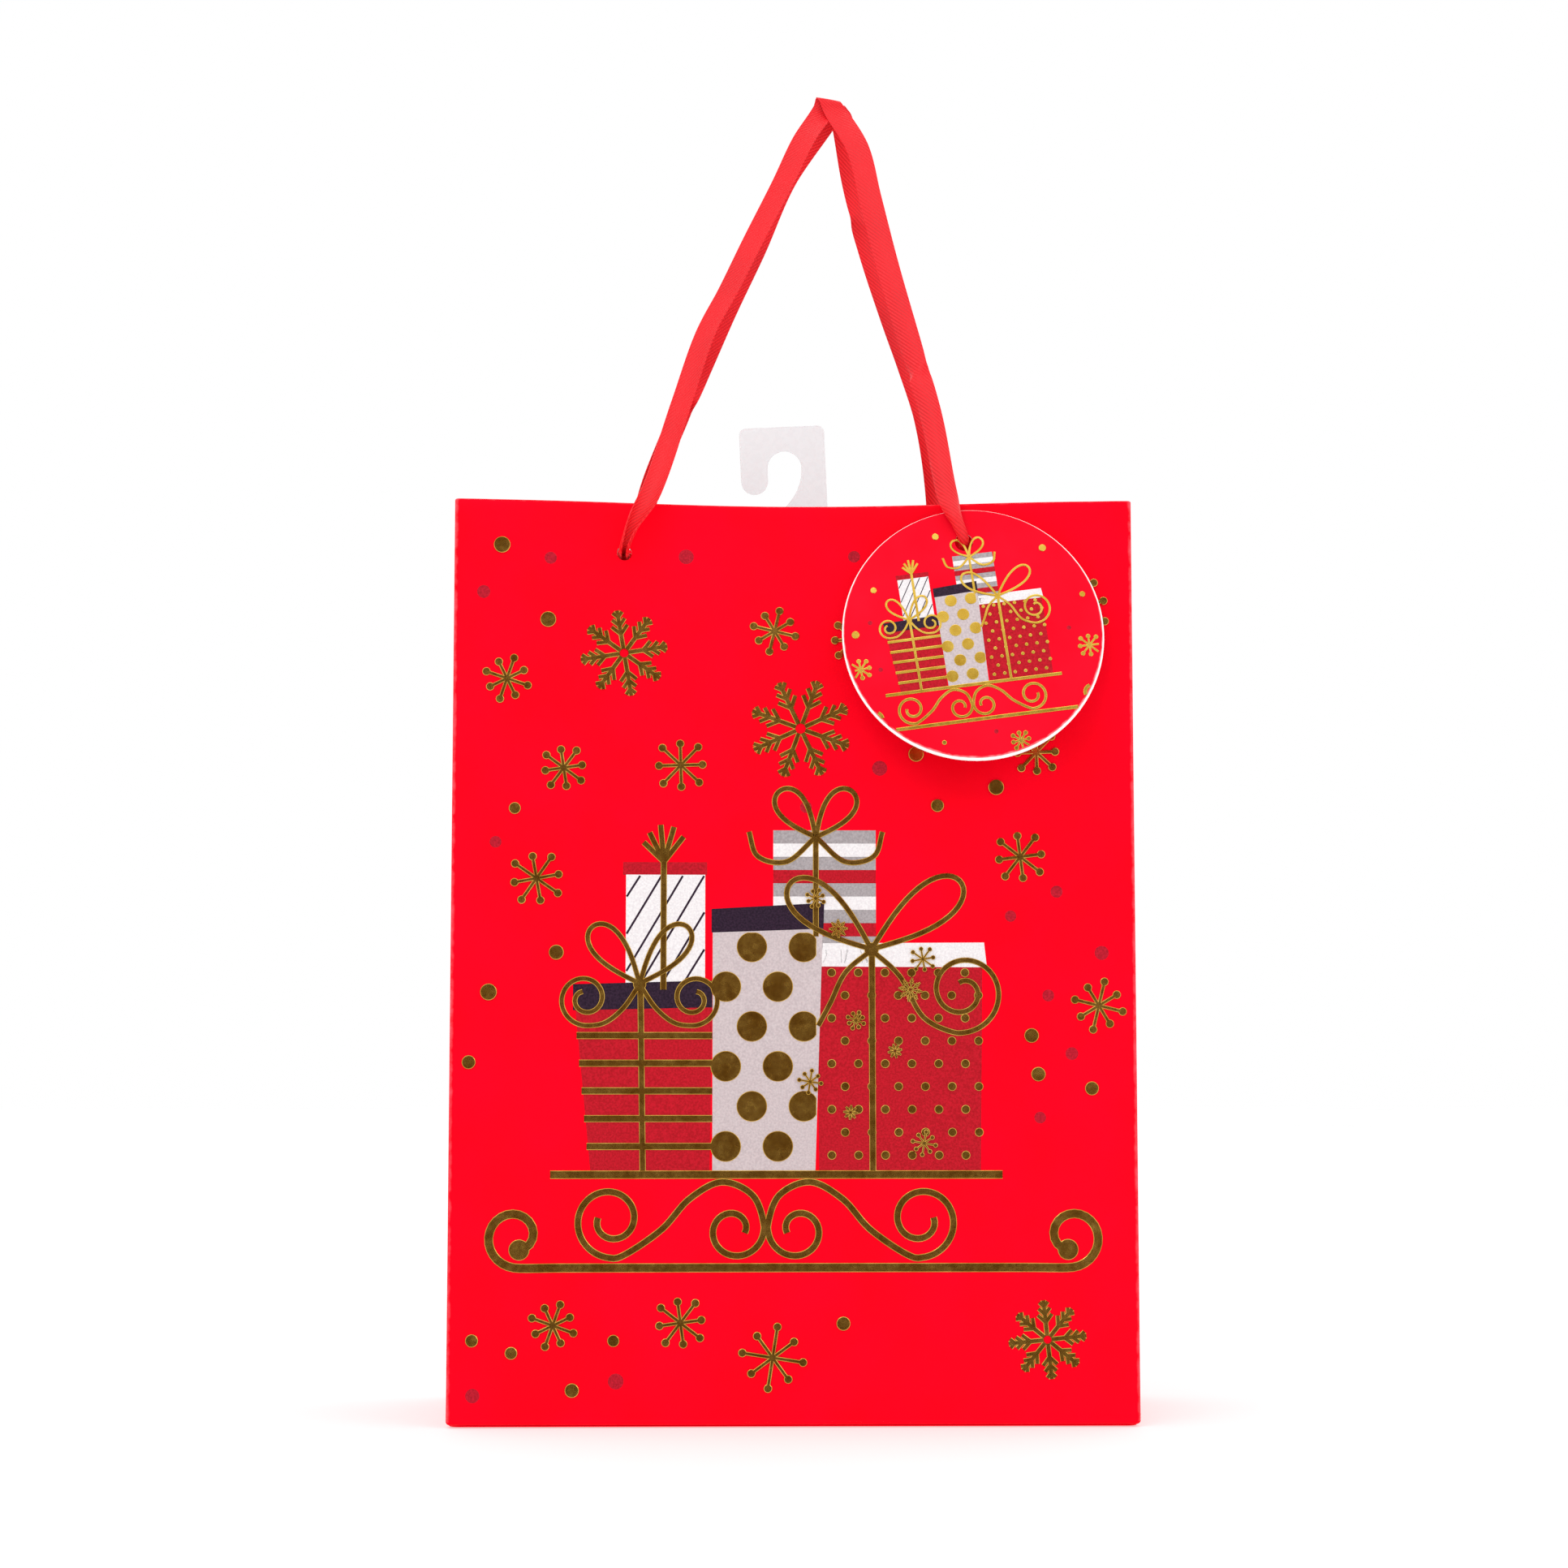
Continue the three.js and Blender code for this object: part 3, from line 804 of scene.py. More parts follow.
def strip_mesh(name, rows, run, thick=0.32):
    """A closed strip from a grid of points, with its own length and width kept for the weave."""
    d_run = np.gradient(rows, axis=0)
    d_across = np.gradient(rows, axis=1)
    normal = np.cross(d_across, d_run)
    normal /= np.maximum(np.linalg.norm(normal, axis=2), 1e-9)[:, :, None]
    high, low = rows + normal * thick / 2, rows - normal * thick / 2
    n, m = rows.shape[:2]
    points = np.concatenate([high.reshape(-1, 3), low.reshape(-1, 3)])
    width = np.linspace(-RIBBON_WIDTH / 2, RIBBON_WIDTH / 2, m)
    across = np.tile(width, n * 2)
    along = np.tile(np.repeat(run, m), 2)
    faces = []
    under = n * m
    for i in range(n - 1):
        for j in range(m - 1):
            a, b, c, d = i * m + j, i * m + j + 1, (i + 1) * m + j + 1, (i + 1) * m + j
            faces += [(a, b, c, d), (a + under, d + under, c + under, b + under)]
        for a, b in ((i * m, (i + 1) * m), ((i + 1) * m + m - 1, i * m + m - 1)):
            faces.append((a, b, b + under, a + under))
    for start, flip in ((0, False), ((n - 1) * m, True)):
        for j in range(m - 1):
            face = (start + j, start + j + under, start + j + 1 + under, start + j + 1)
            faces.append(face[::-1] if flip else face)
    return make_mesh(name, points, faces, [RIBBON], attributes={"along": along, "across": across}, sharp=50)


def add_ribbon(name, side, ways, wall, right_hole, turns, curls, kinks):
    """One ribbon is a handle and two ends, cut from one strip where the ends have cleared the top edge."""
    line = ribbon_route(side, ways, wall, right_hole)
    fold_at = float(run_along(line)[np.argmax(line[:, 2])])
    rows, run = strip_sections(line, turns, curls, fold_at, kinks, right_hole[0] - HALF_D)
    above = np.where(line[:, 2] > CLEAR_Z)[0]
    first, last = above[0], above[-1]
    handle = strip_mesh(f"{name}_handle_ribbon", rows[first:last + 1], run[first:last + 1])
    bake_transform(handle)
    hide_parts(f"{name}_ribbon_handle")
    ends = []
    for end, piece in (("left", slice(0, first + 1)), ("right", slice(last, len(line)))):
        strip = strip_mesh(f"{name}_ribbon_{end}", rows[piece], run[piece])
        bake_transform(strip)
        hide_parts(f"{name}_ribbon_end_{end}")
        knot = add_knot(name, side, end, wall)
        ends += [strip, knot]


def add_knot(name, side, end, wall):
    """An overhand knot of the rolled ribbon on the inside of the hem, with its cut tail."""
    x0 = -HOLE_X if end == "left" else HOLE_X
    y0 = wall(x0, HOLE_Z, 0)[1] - side * 4.9
    line = []
    for t in np.linspace(0.15, 2 * math.pi - 0.35, 46):
        a = (2 + math.cos(3 * t)) * 0.62
        line.append((x0 + a * math.cos(2 * t) * 1.15, y0 + side * 0.75 * math.sin(3 * t),
                     HOLE_Z - 1.6 + a * math.sin(2 * t)))
    tail_x, tail_y, tail_z = line[-1]
    line += [(tail_x + 0.6, tail_y - side * 0.2, tail_z - 2.6), (tail_x + 1.0, tail_y, tail_z - 5.2),
             (tail_x + 0.7, tail_y + side * 0.3, tail_z - 8.2)]
    line = smooth_line(line, 0.45)
    tangent = unit(np.gradient(line, axis=0))
    count = len(line)
    points, along, across, faces = [], [], [], []
    sides = 10
    for i, (p, t) in enumerate(zip(line, tangent)):
        normal = unit(np.cross(t, (0.3, 0.9, 0.2)))
        other = np.cross(t, normal)
        flare = smooth((i - count * 0.86) / (count * 0.14))
        wide, thin = 1.0 + 1.1 * flare, 0.95 - 0.6 * flare
        if i in (0, count - 1):
            wide, thin = wide * 0.85, thin * 0.75
        for k in range(sides):
            a = 2 * math.pi * k / sides
            fold = 1 + 0.1 * math.sin(3 * a)
            points.append(p + fold * (normal * wide * math.cos(a) + other * thin * math.sin(a)))
            along.append(i * 0.45)
            across.append(RIBBON_WIDTH * k / sides)
    for i in range(count - 1):
        for k in range(sides):
            j = (k + 1) % sides
            faces.append((i * sides + k, i * sides + j, (i + 1) * sides + j, (i + 1) * sides + k))
    faces += [tuple(range(sides))[::-1], tuple(range((count - 1) * sides, count * sides))]
    knot = make_mesh(f"{name}_overhand_knot_{end}", points, faces, [RIBBON],
                     attributes={"along": along, "across": across}, sharp=70)
    face_outwards(knot)
    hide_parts(f"{name}_knot_{end}")
    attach(knot, f"{name}_wall")
    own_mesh(knot)
    return knot


# ---------------------------------------------------------------- tag and hang tab

TAG_PLACE = (
    Matrix.Translation((HOLE_X, TAG_HOLE_Y, TAG_HOLE_Z))
    @ Matrix.Rotation(-TAG_TILT, 4, "X")
    @ Matrix.Rotation(-TAG_TURN, 4, "Y")
)


def on_tag(x, z, lift):
    """A point on the tag's front, from its own (x, z) about its hole, lift mm above the card."""
    bow = 0.5 * (1 - (x * x + (z + TAG_HOLE_UP) ** 2) / TAG_RADIUS ** 2)
    return tuple(TAG_PLACE @ Vector((x, -CARD - lift - bow, z)))


def add_tag():
    """A die-cut disc, a little bowed, with pressed edges, a paper rim and a punched hole."""
    hole = 2.4  # radius of the punched hole
    around = 96

    def circle(share, depth):
        """One loop between the hole, share 0, and the rim, share 1."""
        loop = []
        for k in range(around):
            a = 2 * math.pi * k / around
            near = Vector((hole * math.cos(a), hole * math.sin(a)))
            far = Vector((TAG_RADIUS * math.cos(a), TAG_RADIUS * math.sin(a) - TAG_HOLE_UP))
            x, z = near.lerp(far, share)
            loop.append(on_tag(x, z, -depth))
        return loop

    steps = [0, 0.03, 0.07, 0.15, 0.3, 0.45, 0.6, 0.75, 0.88, 0.97, 0.988]
    rings = [circle(s, 0) for s in steps]
    rings += [circle(1, 0.12), circle(1, CARD - 0.12)]
    rings += [circle(s, CARD) for s in reversed(steps)]
    points = [p for loop in rings for p in loop]
    faces, kinds = [], []
    total = len(rings)
    for k in range(total):
        kind = 0 if k < len(steps) - 1 else (2 if k <= len(steps) + 1 or k == total - 1 else 1)
        n = (k + 1) % total
        for i in range(around):
            j = (i + 1) % around
            faces.append((k * around + i, k * around + j, n * around + j, n * around + i))
            kinds.append(kind)
    painted_highlight_and_wear_tone = []
    for k in range(total):
        # the front's outermost ring takes the print's pale tone, the same mask that paints highlight and wear
        # on the bag's folds
        rim = 0.85 if k == len(steps) - 1 else 0.0
        painted_highlight_and_wear_tone += [rim] * around
    tag = make_mesh("tag_card", points, faces, [TAG_RED, WHITE, CORE], kinds, {"painted_highlight_and_wear": painted_highlight_and_wear_tone})
    face_outwards(tag)
    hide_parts("gift_tag")
    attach(tag, "tag")


def within(point, outline):
    """Whether a point lies inside a closed outline."""
    x, z = point
    inside = False
    for (x0, z0), (x1, z1) in zip(outline, outline[1:] + outline[:1]):
        if (z0 > z) != (z1 > z) and x < x0 + (z - z0) * (x1 - x0) / (z1 - z0):
            inside = not inside
    return inside


def add_hang_tab():
    """Clear film stuck to the back panel, with the hook-shaped slot of a shop display tab."""
    left, right, top, bottom, corner = -13.0, 11.8, 278.4, 226.0, 2.0
    slot_x, slot_r, slot_top = -0.2, 4.9, 271.2
    tip_right = slot_x - slot_r
    tip_x, tip_r = (left + tip_right) / 2, (tip_right - left) / 2
    tip_z = 258.9 + tip_r

    def arc(x, z, radius, start, end, count):
        return [(x + radius * math.cos(math.radians(a)), z + radius * math.sin(math.radians(a)))
                for a in np.linspace(start, end, count)]

    outline = arc(right - corner, bottom + corner, corner, -90, 0, 6)
    outline += arc(right - corner, top - corner, corner, 0, 90, 6)
    outline += arc(left + corner, top - corner, corner, 90, 180, 6)
    outline += arc(tip_x, tip_z, tip_r, 180, 360, 14)
    outline += arc(slot_x, slot_top - slot_r, slot_r, 180, 0, 16)
    ends = [(slot_x + slot_r, slot_top - slot_r), (slot_x + slot_r, 256), (left + 8, 251), (left, 247)]
    for t in np.linspace(0, 1, 14)[1:]:
        weights = ((1 - t) ** 3, 3 * t * (1 - t) ** 2, 3 * t * t * (1 - t), t ** 3)
        outline.append(tuple(sum(w * p[k] for w, p in zip(weights, ends)) for k in (0, 1)))
    outline += arc(left + corner, bottom + corner, corner, 180, 270, 6)

    inside = []
    for x in np.linspace(left + 1.5, right - 1.5, 7):
        for z in np.linspace(bottom + 1.5, top - 1.5, 18):
            inside.append((x, z))
    flat, triangles = triangulate(inside, [outline])
    kept = [t for t in triangles if within(flat[list(t)].mean(0), outline)]
    flat, kept = compacted(flat, kept)
    turn = math.radians(2.6)

    def at(x, z, off):
        x, z = x + 0.4, z - 250
        x, z = x * math.cos(turn) - z * math.sin(turn) - 0.4, x * math.sin(turn) + z * math.cos(turn) + 250
        y = HALF_D + GAP_BEHIND - pinch(x, min(z, HEIGHT)) - 0.055 * max(z - HEIGHT, 0) + off
        return (x, y, z)

    film = 0.25
    points = [at(x, z, film) for x, z in flat] + [at(x, z, 0) for x, z in flat]
    faces, _ = thickened(kept, len(flat), True)
    tab = make_mesh("hang_tab_film", points, faces, [FILM])
    face_outwards(tab)
    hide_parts("hang_tab")
    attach(tab, "back_wall")
    flatten(tab)


# ---------------------------------------------------------------- printed and stamped artwork

ART_DROP = 1.2  # the print sits this much lower than it is drawn
SKY_SEED = 11
FLECK_SEED = 7


class Ink:
    """Printed shapes of one colour, drawn flat in (x, z) and later laid on a surface.
    turn, scale and shift place the drawing; limit is a disc (x, z, radius) that it may not leave."""

    def __init__(self, lift, rise, bevel, turn=0.0, scale=1.0, shift=(0, 0), about=(0, 0), limit=None):
        self.points, self.faces = [], []
        self.lift, self.rise, self.bevel = lift, rise, bevel
        self.scale, self.limit, self.shapes = scale, limit, 0
        self.turn, self.shift, self.about = turn, np.array(shift, float), np.array(about, float)

    def place(self, path):
        p = (np.asarray(path, float) - self.about) * self.scale
        c, s = math.cos(self.turn), math.sin(self.turn)
        return p @ np.array(((c, s), (-s, c))) + self.shift

    def level(self):
        """Each shape lies a hair above the last, so shapes that cross never share a plane."""
        self.shapes += 1
        return self.lift + self.shapes * 0.0005

    def inside(self, path):
        if self.limit is None:
            return np.ones(len(path), bool)
        return np.hypot(path[:, 0] - self.limit[0], path[:, 1] - self.limit[1]) < self.limit[2]

    def area(self, outline):
        """A convex area, its outline counter-clockwise, with an eased edge."""
        low = self.level()
        o = self.place(outline)
        if not self.inside(o).all():
            return
        d0 = o - np.roll(o, 1, 0)
        d1 = np.roll(o, -1, 0) - o
        d0 /= np.linalg.norm(d0, axis=1)[:, None]
        d1 /= np.linalg.norm(d1, axis=1)[:, None]
        n0 = np.stack([-d0[:, 1], d0[:, 0]], 1)
        n1 = np.stack([-d1[:, 1], d1[:, 0]], 1)
        inset = o + (n0 + n1) / (1 + (n0 * n1).sum(1))[:, None] * self.bevel
        first, n = len(self.points), len(o)
        self.points += [(x, z, low) for x, z in o] + [(x, z, low + self.rise) for x, z in inset]
        self.faces.append(tuple(range(first, first + n))[::-1])
        self.faces.append(tuple(range(first + n, first + 2 * n)))
        for i in range(n):
            j = (i + 1) % n
            self.faces.append((first + i, first + j, first + n + j, first + n + i))

    def disc(self, x, z, radius, count=26, left=-1000, right=1000, top=1000):
        """A dot, cut at the lines left, right and top."""
        self.area([(min(max(px, left), right), min(pz, top)) for px, pz in ring(x, z, radius, count)])

    def panel(self, corners, step=5.0):
        """A four-sided area on a grid: its corners run counter-clockwise from the lower left."""
        low = self.level()
        c = self.place(corners)
        across = max(1, int(np.linalg.norm(c[1] - c[0]) / step))
        up = max(1, int(np.linalg.norm(c[3] - c[0]) / step))
        first, layer = len(self.points), (across + 1) * (up + 1)
        for height in (0.0, self.rise):
            for v in np.linspace(0, 1, up + 1):
                for u in np.linspace(0, 1, across + 1):
                    p = (c[0] * (1 - u) + c[1] * u) * (1 - v) + (c[3] * (1 - u) + c[2] * u) * v
                    self.points.append((p[0], p[1], low + height))
        rim = {}
        for j in range(up):
            for i in range(across):
                a = first + j * (across + 1) + i
                quad = (a, a + 1, a + across + 2, a + across + 1)
                self.faces += [quad[::-1], tuple(k + layer for k in quad)]
                for k in range(4):
                    rim[(quad[k], quad[(k + 1) % 4])] = True
        for a, b in rim:
            if (b, a) not in rim:
                self.faces.append((a, b, b + layer, a + layer))

    def stroke(self, path, width):
        """A line of even width with bevelled sides, cut where it would leave the limit."""
        path = self.place(path)
        ok = self.inside(path)
        runs, start = [], None
        for i, good in enumerate(list(ok) + [False]):
            if good and start is None:
                start = i
            elif not good and start is not None:
                runs.append((start, i))
                start = None
        for a, b in runs:
            if b - a > 1:
                self.ribbon(path[a:b], width * self.scale)

    def ribbon(self, line, width):
        low = self.level()
        step = np.gradient(line, axis=0)
        step /= np.maximum(np.linalg.norm(step, axis=1), 1e-9)[:, None]
        side = np.stack([-step[:, 1], step[:, 0]], 1)
        half = width / 2
        flat = max(half - self.bevel, half * 0.35)
        first = len(self.points)
        for p, n in zip(line, side):
            for off, up in ((-half, 0), (-flat, self.rise), (flat, self.rise), (half, 0)):
                self.points.append((p[0] + n[0] * off, p[1] + n[1] * off, low + up))
        for i in range(len(line) - 1):
            for k in range(4):
                a, b = first + i * 4 + k, first + i * 4 + (k + 1) % 4
                self.faces.append((a, b, b + 4, a + 4))
        last = first + (len(line) - 1) * 4
        self.faces += [tuple(range(first, first + 4))[::-1], tuple(range(last, last + 4))]

    def lay(self, name, surface, material, body, slot, side=None):
        """The finished piece: every shape laid on surface(x, z, lift)."""
        piece = make_mesh(name, [surface(*p) for p in self.points], self.faces, [material], sharp=20)
        face_outwards(piece)
        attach(piece, body)
        if side:
            flatten(piece)
        return piece


def line(*points, step=3.0):
    return even(np.array(points, float), step)


def spiral(x, z, r0, r1, start, end):
    """Points round (x, z) from angle start to end in degrees, as the radius goes from r0 to r1."""
    count = max(6, int(abs(end - start) / 11))
    out = []
    for t in np.linspace(0, 1, count):
        a = math.radians(start + (end - start) * t)
        r = r0 + (r1 - r0) * t
        out.append((x + r * math.cos(a), z + r * math.sin(a)))
    return out


def star(ink, x, z, radius, tilt=0.0, width=0.95):
    """Eight thin arms, each with a ball at its end; every other arm is a little shorter."""
    for k in range(8):
        a = math.radians(tilt + 45 * k)
        r = radius * (1 if k % 2 else 0.86)
        tip = (x + r * math.cos(a), z + r * math.sin(a))
        ink.stroke(line((x, z), tip, step=radius / 3), width)
        ink.disc(*tip, width * 1.2, 16)
    ink.disc(x, z, width * 1.1, 16)


def snowflake(ink, x, z, radius, tilt=0.0, pairs=3, width=1.25):
    """Eight feathered arms around a small open centre."""
    for k in range(8):
        a = math.radians(tilt + 45 * k)
        d = np.array((math.cos(a), math.sin(a)))
        centre = np.array((x, z))
        ink.stroke(line(centre + d * radius * 0.1, centre + d * radius, step=radius / 4), width)
        for j in range(pairs):
            foot = centre + d * radius * (0.44 + 0.2 * j)
            arm = radius * (0.27 - 0.055 * j)
            for turn in (-42, 42):
                b = a + math.radians(turn)
                tip = foot + arm * np.array((math.cos(b), math.sin(b)))
                ink.stroke(line(foot, tip, step=arm), width * 0.9)


def bow_loop(x, z, angle, length, width):
    """A teardrop loop that leaves (x, z) and comes back to it."""
    c, s = math.cos(math.radians(angle)), math.sin(math.radians(angle))
    out = []
    for t in np.linspace(0, 2 * math.pi, 40):
        reach = (1 - math.cos(t)) / 2
        along, across = length * reach ** 0.8, width * math.sin(t) * reach ** 0.35
        out.append((x + along * c - across * s, z + along * s + across * c))
    return out


def box(left, low, right, high):
    return [(left, low), (right, low), (right, high), (left, high)]


def draw_sleigh(foil):
    """A parcel sleigh: two bars, curled runner ends, and four scrolls between the bars."""
    foil.stroke(line((-63.4, 65.9), (54.4, 65.9)), 2.1)
    tail = spiral(-72.3, 50.0, 8.1, 3.6, 270, -75)
    front = [(-x, z) for x, z in tail]
    foil.stroke(smooth_line(tail[::-1] + [(-60, 41.9), (0, 41.9), (60, 41.9)] + front, 1.6), 2.3)
    foil.disc(*tail[-1], 2.7)
    foil.disc(*front[-1], 2.7)
    for mirror in (False, True):
        way = spiral(-47.6, 54.2, 3.4, 9.9, 170, 640)
        way += [(-34.6, 51.6), (-27, 59.8), (-18.6, 64.0), (-10.6, 60.4)]
        way += spiral(-15.6, 51.6, 7.9, 2.9, 8, -375)
        if mirror:
            way = [(-14.6 - x, z) for x, z in way]
        foil.stroke(smooth_line(way, 1.0), 1.75)


def draw_parcels(inks, foil, overprint):
    """A stack of five wrapped parcels with bows: inks holds the flat colours by name.
    The big dots run over the tall parcel's left edge by the overprint."""
    floor = 66.9
    # striped parcel, at the back
    top, high = 156.0, 3.5
    tones = ("mid", "white", "grey", "wine_top")
    for k in range(10):
        z = top - high * (k + 1)
        inks[tones[k % 4]].panel(box(-5.4, z, 21.6, z + high))
    foil.stroke(line((5.8, 128), (5.8, 155)), 1.5)
    for way, angle in ((-1, 128), (1, 52)):
        foil.stroke(bow_loop(5.8, 154.2, angle, 15.5, 4.6), 1.4)
        foil.stroke(smooth_line([(5.8, 154.2), (5.8 + way * 8, 147.6), (5.8 + way * 15.4, 149.2),
                                 (5.8 + way * 17.6, 155.6)], 1.0), 1.4)
    # white parcel with slanted lines
    inks["white"].panel(box(-44.1, 115.6, -23.3, 144.2))
    for k in range(-2, 5):
        x0, x1 = -45.6 + 5.6 * k, -45.6 + 5.6 * k + 16.4
        z0, z1 = 115.6, 144.2
        slope = (z1 - z0) / (x1 - x0)
        if x0 < -43.9:
            x0, z0 = -43.9, z0 + (-43.9 - x0) * slope
        if x1 > -23.5:
            x1, z1 = -23.5, z0 + (-23.5 - x0) * slope
        if z1 - z0 > 2:
            inks["plum_line"].stroke(line((x0, z0 + 0.3), (x1, z1 - 0.3)), 0.55)
    inks["wine"].panel(box(-44.9, 144.1, -22.8, 147.5))
    foil.stroke(line((-34.2, 114), (-34.2, 150)), 1.6)
    for angle, reach in ((52, 8.4), (74, 9.6), (95, 9.8), (116, 8.6), (136, 7.4)):
        a = math.radians(angle)
        tip = (-34.2 + reach * math.cos(a), 147.6 + reach * math.sin(a))
        foil.stroke(line((-34.2, 147.6), tip, step=2), 1.5)
    # right parcel with small dots
    inks["wine"].panel([(6.6, floor), (48.8, floor), (49.5, 120.8), (6.0, 120.8)])
    inks["white"].panel([(7.3, 120.1), (50.7, 119.9), (50.0, 126.4), (7.6, 126.2)])
    for row in range(9):
        for column in range(6):
            x = 9.9 + 7.0 * column + (3.5 if row % 2 else 0)
            foil.disc(x, 70.9 + 5.95 * row, 1.15, 16)
    foil.stroke(line((20.6, floor), (20.5, 124)), 1.7)
    # left parcel with stripes
    inks["wine"].panel([(-53.0, floor), (-22, floor), (-21.4, 109.4), (-57.2, 109.4)])
    for k in range(5):
        z = 102.0 - 7.2 * k
        foil.stroke(line((-56.8 + 0.7 * k, z), (-21.4, z)), 1.8)
    inks["plum"].panel([(-57.8, 108.6), (-21.4, 109.4), (-21.4, 116.4), (-57.8, 115.4)])
    foil.stroke(line((-39.4, floor), (-40.2, 116)), 1.6)
    # tall parcel with big dots
    inks["grey_top"].panel([(-21.3, floor), (5.6, floor), (7.6, 130.2), (-21.3, 129.2)])
    inks["plum"].panel([(-21.6, 129.0), (7.8, 130.0), (8.0, 136.8), (-21.6, 135.2)])
    for row in range(6):
        for column in range(2):
            x = -17.8 + 13.6 * column + (6.8 if row % 2 else 0)
            foil.disc(x, 73.2 + 10.4 * row, 4.0, 34, -21.6 - overprint, 5.9, 129.0)
    # bows of the left and right parcels
    for way in (-1, 1):
        foil.stroke(bow_loop(-40.4, 115.6, 90 - way * 40, 19.4, 5.0), 1.35)
        curl = spiral(-40.4 + way * 14.2, 111.6, 7.0, 2.0, -90, -90 + way * 520)
        lead = [(-40.4, 115.4), (-40.4 + way * 4.4, 109.0), (-40.4 + way * 9.4, 105.2)]
        foil.stroke(smooth_line(lead + curl, 0.9), 1.3)
    foil.disc(-40.4, 115.4, 1.7)
    foil.stroke(bow_loop(20.4, 124.6, 141, 27.5, 6.6), 1.45)
    foil.stroke(bow_loop(20.4, 124.6, 37, 29.5, 6.6), 1.45)
    foil.stroke(smooth_line([(20.4, 124.4), (13.6, 118.6), (9.6, 110.6), (6.4, 104.6)], 1.0), 1.4)
    curl = spiral(44.2, 113.6, 11.0, 2.4, -100, 470)
    foil.stroke(smooth_line([(20.4, 124.4), (27.6, 117.8), (34.2, 106.6)] + curl, 0.9), 1.4)
    foil.disc(20.4, 124.5, 1.9)


def draw_sky(foil, dull):
    """Snowflakes, stars and dots scattered around the parcels, none of them near another."""
    drawn = ((0, 52, 84, 17), (-4, 112, 55, 47))  # the sleigh and the parcels: middle, half width and height
    kinds = (("snowflake", 4, 12.0), ("star", 13, 7.0), ("gold", 18, 1.9), ("dull", 16, 1.8))
    source = np.random.default_rng(SKY_SEED)
    taken = [(-HOLE_X, HOLE_Z + ART_DROP, 4), (HOLE_X, HOLE_Z + ART_DROP, 4)]

    def crowded(x, z, reach):
        over = any(abs(x - a) < wide + reach and abs(z - b) < high + reach for a, b, wide, high in drawn)
        return over or any(math.hypot(x - a, z - b) < reach + r + 5 for a, b, r in taken)

    for kind, count, size in kinds:
        for _ in range(count):
            reach = size * source.uniform(0.8, 1.15)
            for _ in range(400):
                x, z = source.uniform(reach - 87, 87 - reach), source.uniform(8, 236 - reach)
                if not crowded(x, z, reach):
                    break
            else:
                continue
            taken.append((x, z, reach))
            tilt = 45 * source.random()
            if kind == "snowflake":
                snowflake(foil, x, z, reach, tilt)
            elif kind == "star":
                star(foil, x, z, reach, tilt, 0.9)
            else:
                (foil if kind == "gold" else dull).disc(x, z, reach)


def draw_flecks(foil):
    """Small stray stamps of foil on and around the right-hand parcels."""
    source = np.random.default_rng(FLECK_SEED)
    for k in range(9):
        x, z = source.uniform(4, 52), 74 + 8 * k
        radius = 1.4 + 1.8 * source.random()
        if k % 2:
            snowflake(foil, x, z, radius, 45 * source.random(), 2, 0.5)
        else:
            star(foil, x, z, radius, 45 * source.random(), 0.5)


def new_inks(**where):
    """Flat colours in the order that they lie on each other."""
    order = ("grey", "mid", "wine", "white", "wine_top", "plum_line", "grey_top", "plum")
    return {name: Ink(0.01 + 0.012 * k, 0.012, 0.01, **where) for k, name in enumerate(order)}


INK_PAINT = {
    "grey": MID_GREY, "mid": MID_GREY, "wine": WINE, "white": WHITE_INK, "wine_top": WINE,
    "plum_line": PLUM, "grey_top": GREY, "plum": PLUM,
}


def add_artwork(name, side, wall):
    """The whole print of one wall."""
    inks = new_inks()
    dull = Ink(0.01, 0.012, 0.01)
    foil = Ink(0.115, 0.1, 0.14)
    draw_parcels(inks, foil, 0.8)
    draw_sleigh(foil)
    draw_sky(foil, dull)
    draw_flecks(foil)

    def surface(x, z, lift):
        return wall(-side * x, z - ART_DROP, -lift)

    for key, drawn in inks.items():
        drawn.lay(f"{name}_ink_{key}", surface, INK_PAINT[key], f"{name}_wall", "print_ink", side)
    dull.lay(f"{name}_ink_dull_dots", surface, DULL, f"{name}_wall", "print_ink", side)
    foil.lay(f"{name}_foil", surface, FOIL, f"{name}_wall", "gold_foil", side)


def add_tag_artwork():
    """The same design, small and a little turned, cut at the tag's edge."""
    where = dict(turn=math.radians(3.2), scale=0.396, shift=(-1.2, -39.4), about=(-4.5, 65.9),
                 limit=(0, -TAG_HOLE_UP, TAG_RADIUS - 0.9))
    inks = new_inks(**where)
    foil = Ink(0.115, 0.06, 0.1, **where)
    draw_parcels(inks, foil, 0)
    draw_sleigh(foil)
    plain = dict(limit=where["limit"])
    extra = Ink(0.12, 0.06, 0.1, **plain)
    dull = Ink(0.01, 0.012, 0.01, **plain)
    for x, z, radius, tilt in ((-30.4, -33.1, 2.7, 8), (30.2, -30.9, 2.9, 3), (9.6, -55.4, 2.4, 10)):
        star(extra, x, z, radius, tilt, 0.5)
    for x, z, r in ((-7.4, 2.1, 0.9), (20.6, -3.1, 0.95), (-25.1, -11.6, 0.8), (-30.9, -23.5, 1.0),
                    (29.8, -16.7, 0.75), (-10.4, -54.5, 0.6)):
        extra.disc(x, z, r)
    for x, z, r in ((-26.8, -20.5, 0.6), (-25.2, -33.5, 0.6), (25.3, -25.7, 0.6), (3.4, -52.5, 0.6)):
        dull.disc(x, z, r)
    for key, drawn in inks.items():
        drawn.lay(f"tag_ink_{key}", on_tag, INK_PAINT[key], "tag", "print_ink")
    dull.lay("tag_ink_dull_dots", on_tag, DULL, "tag", "print_ink")
    foil.lay("tag_foil", on_tag, TAG_FOIL_PAINTED_BRIGHTER, "tag", "gold_foil")
    extra.lay("tag_foil_stars", on_tag, TAG_FOIL_PAINTED_BRIGHTER, "tag", "gold_foil")


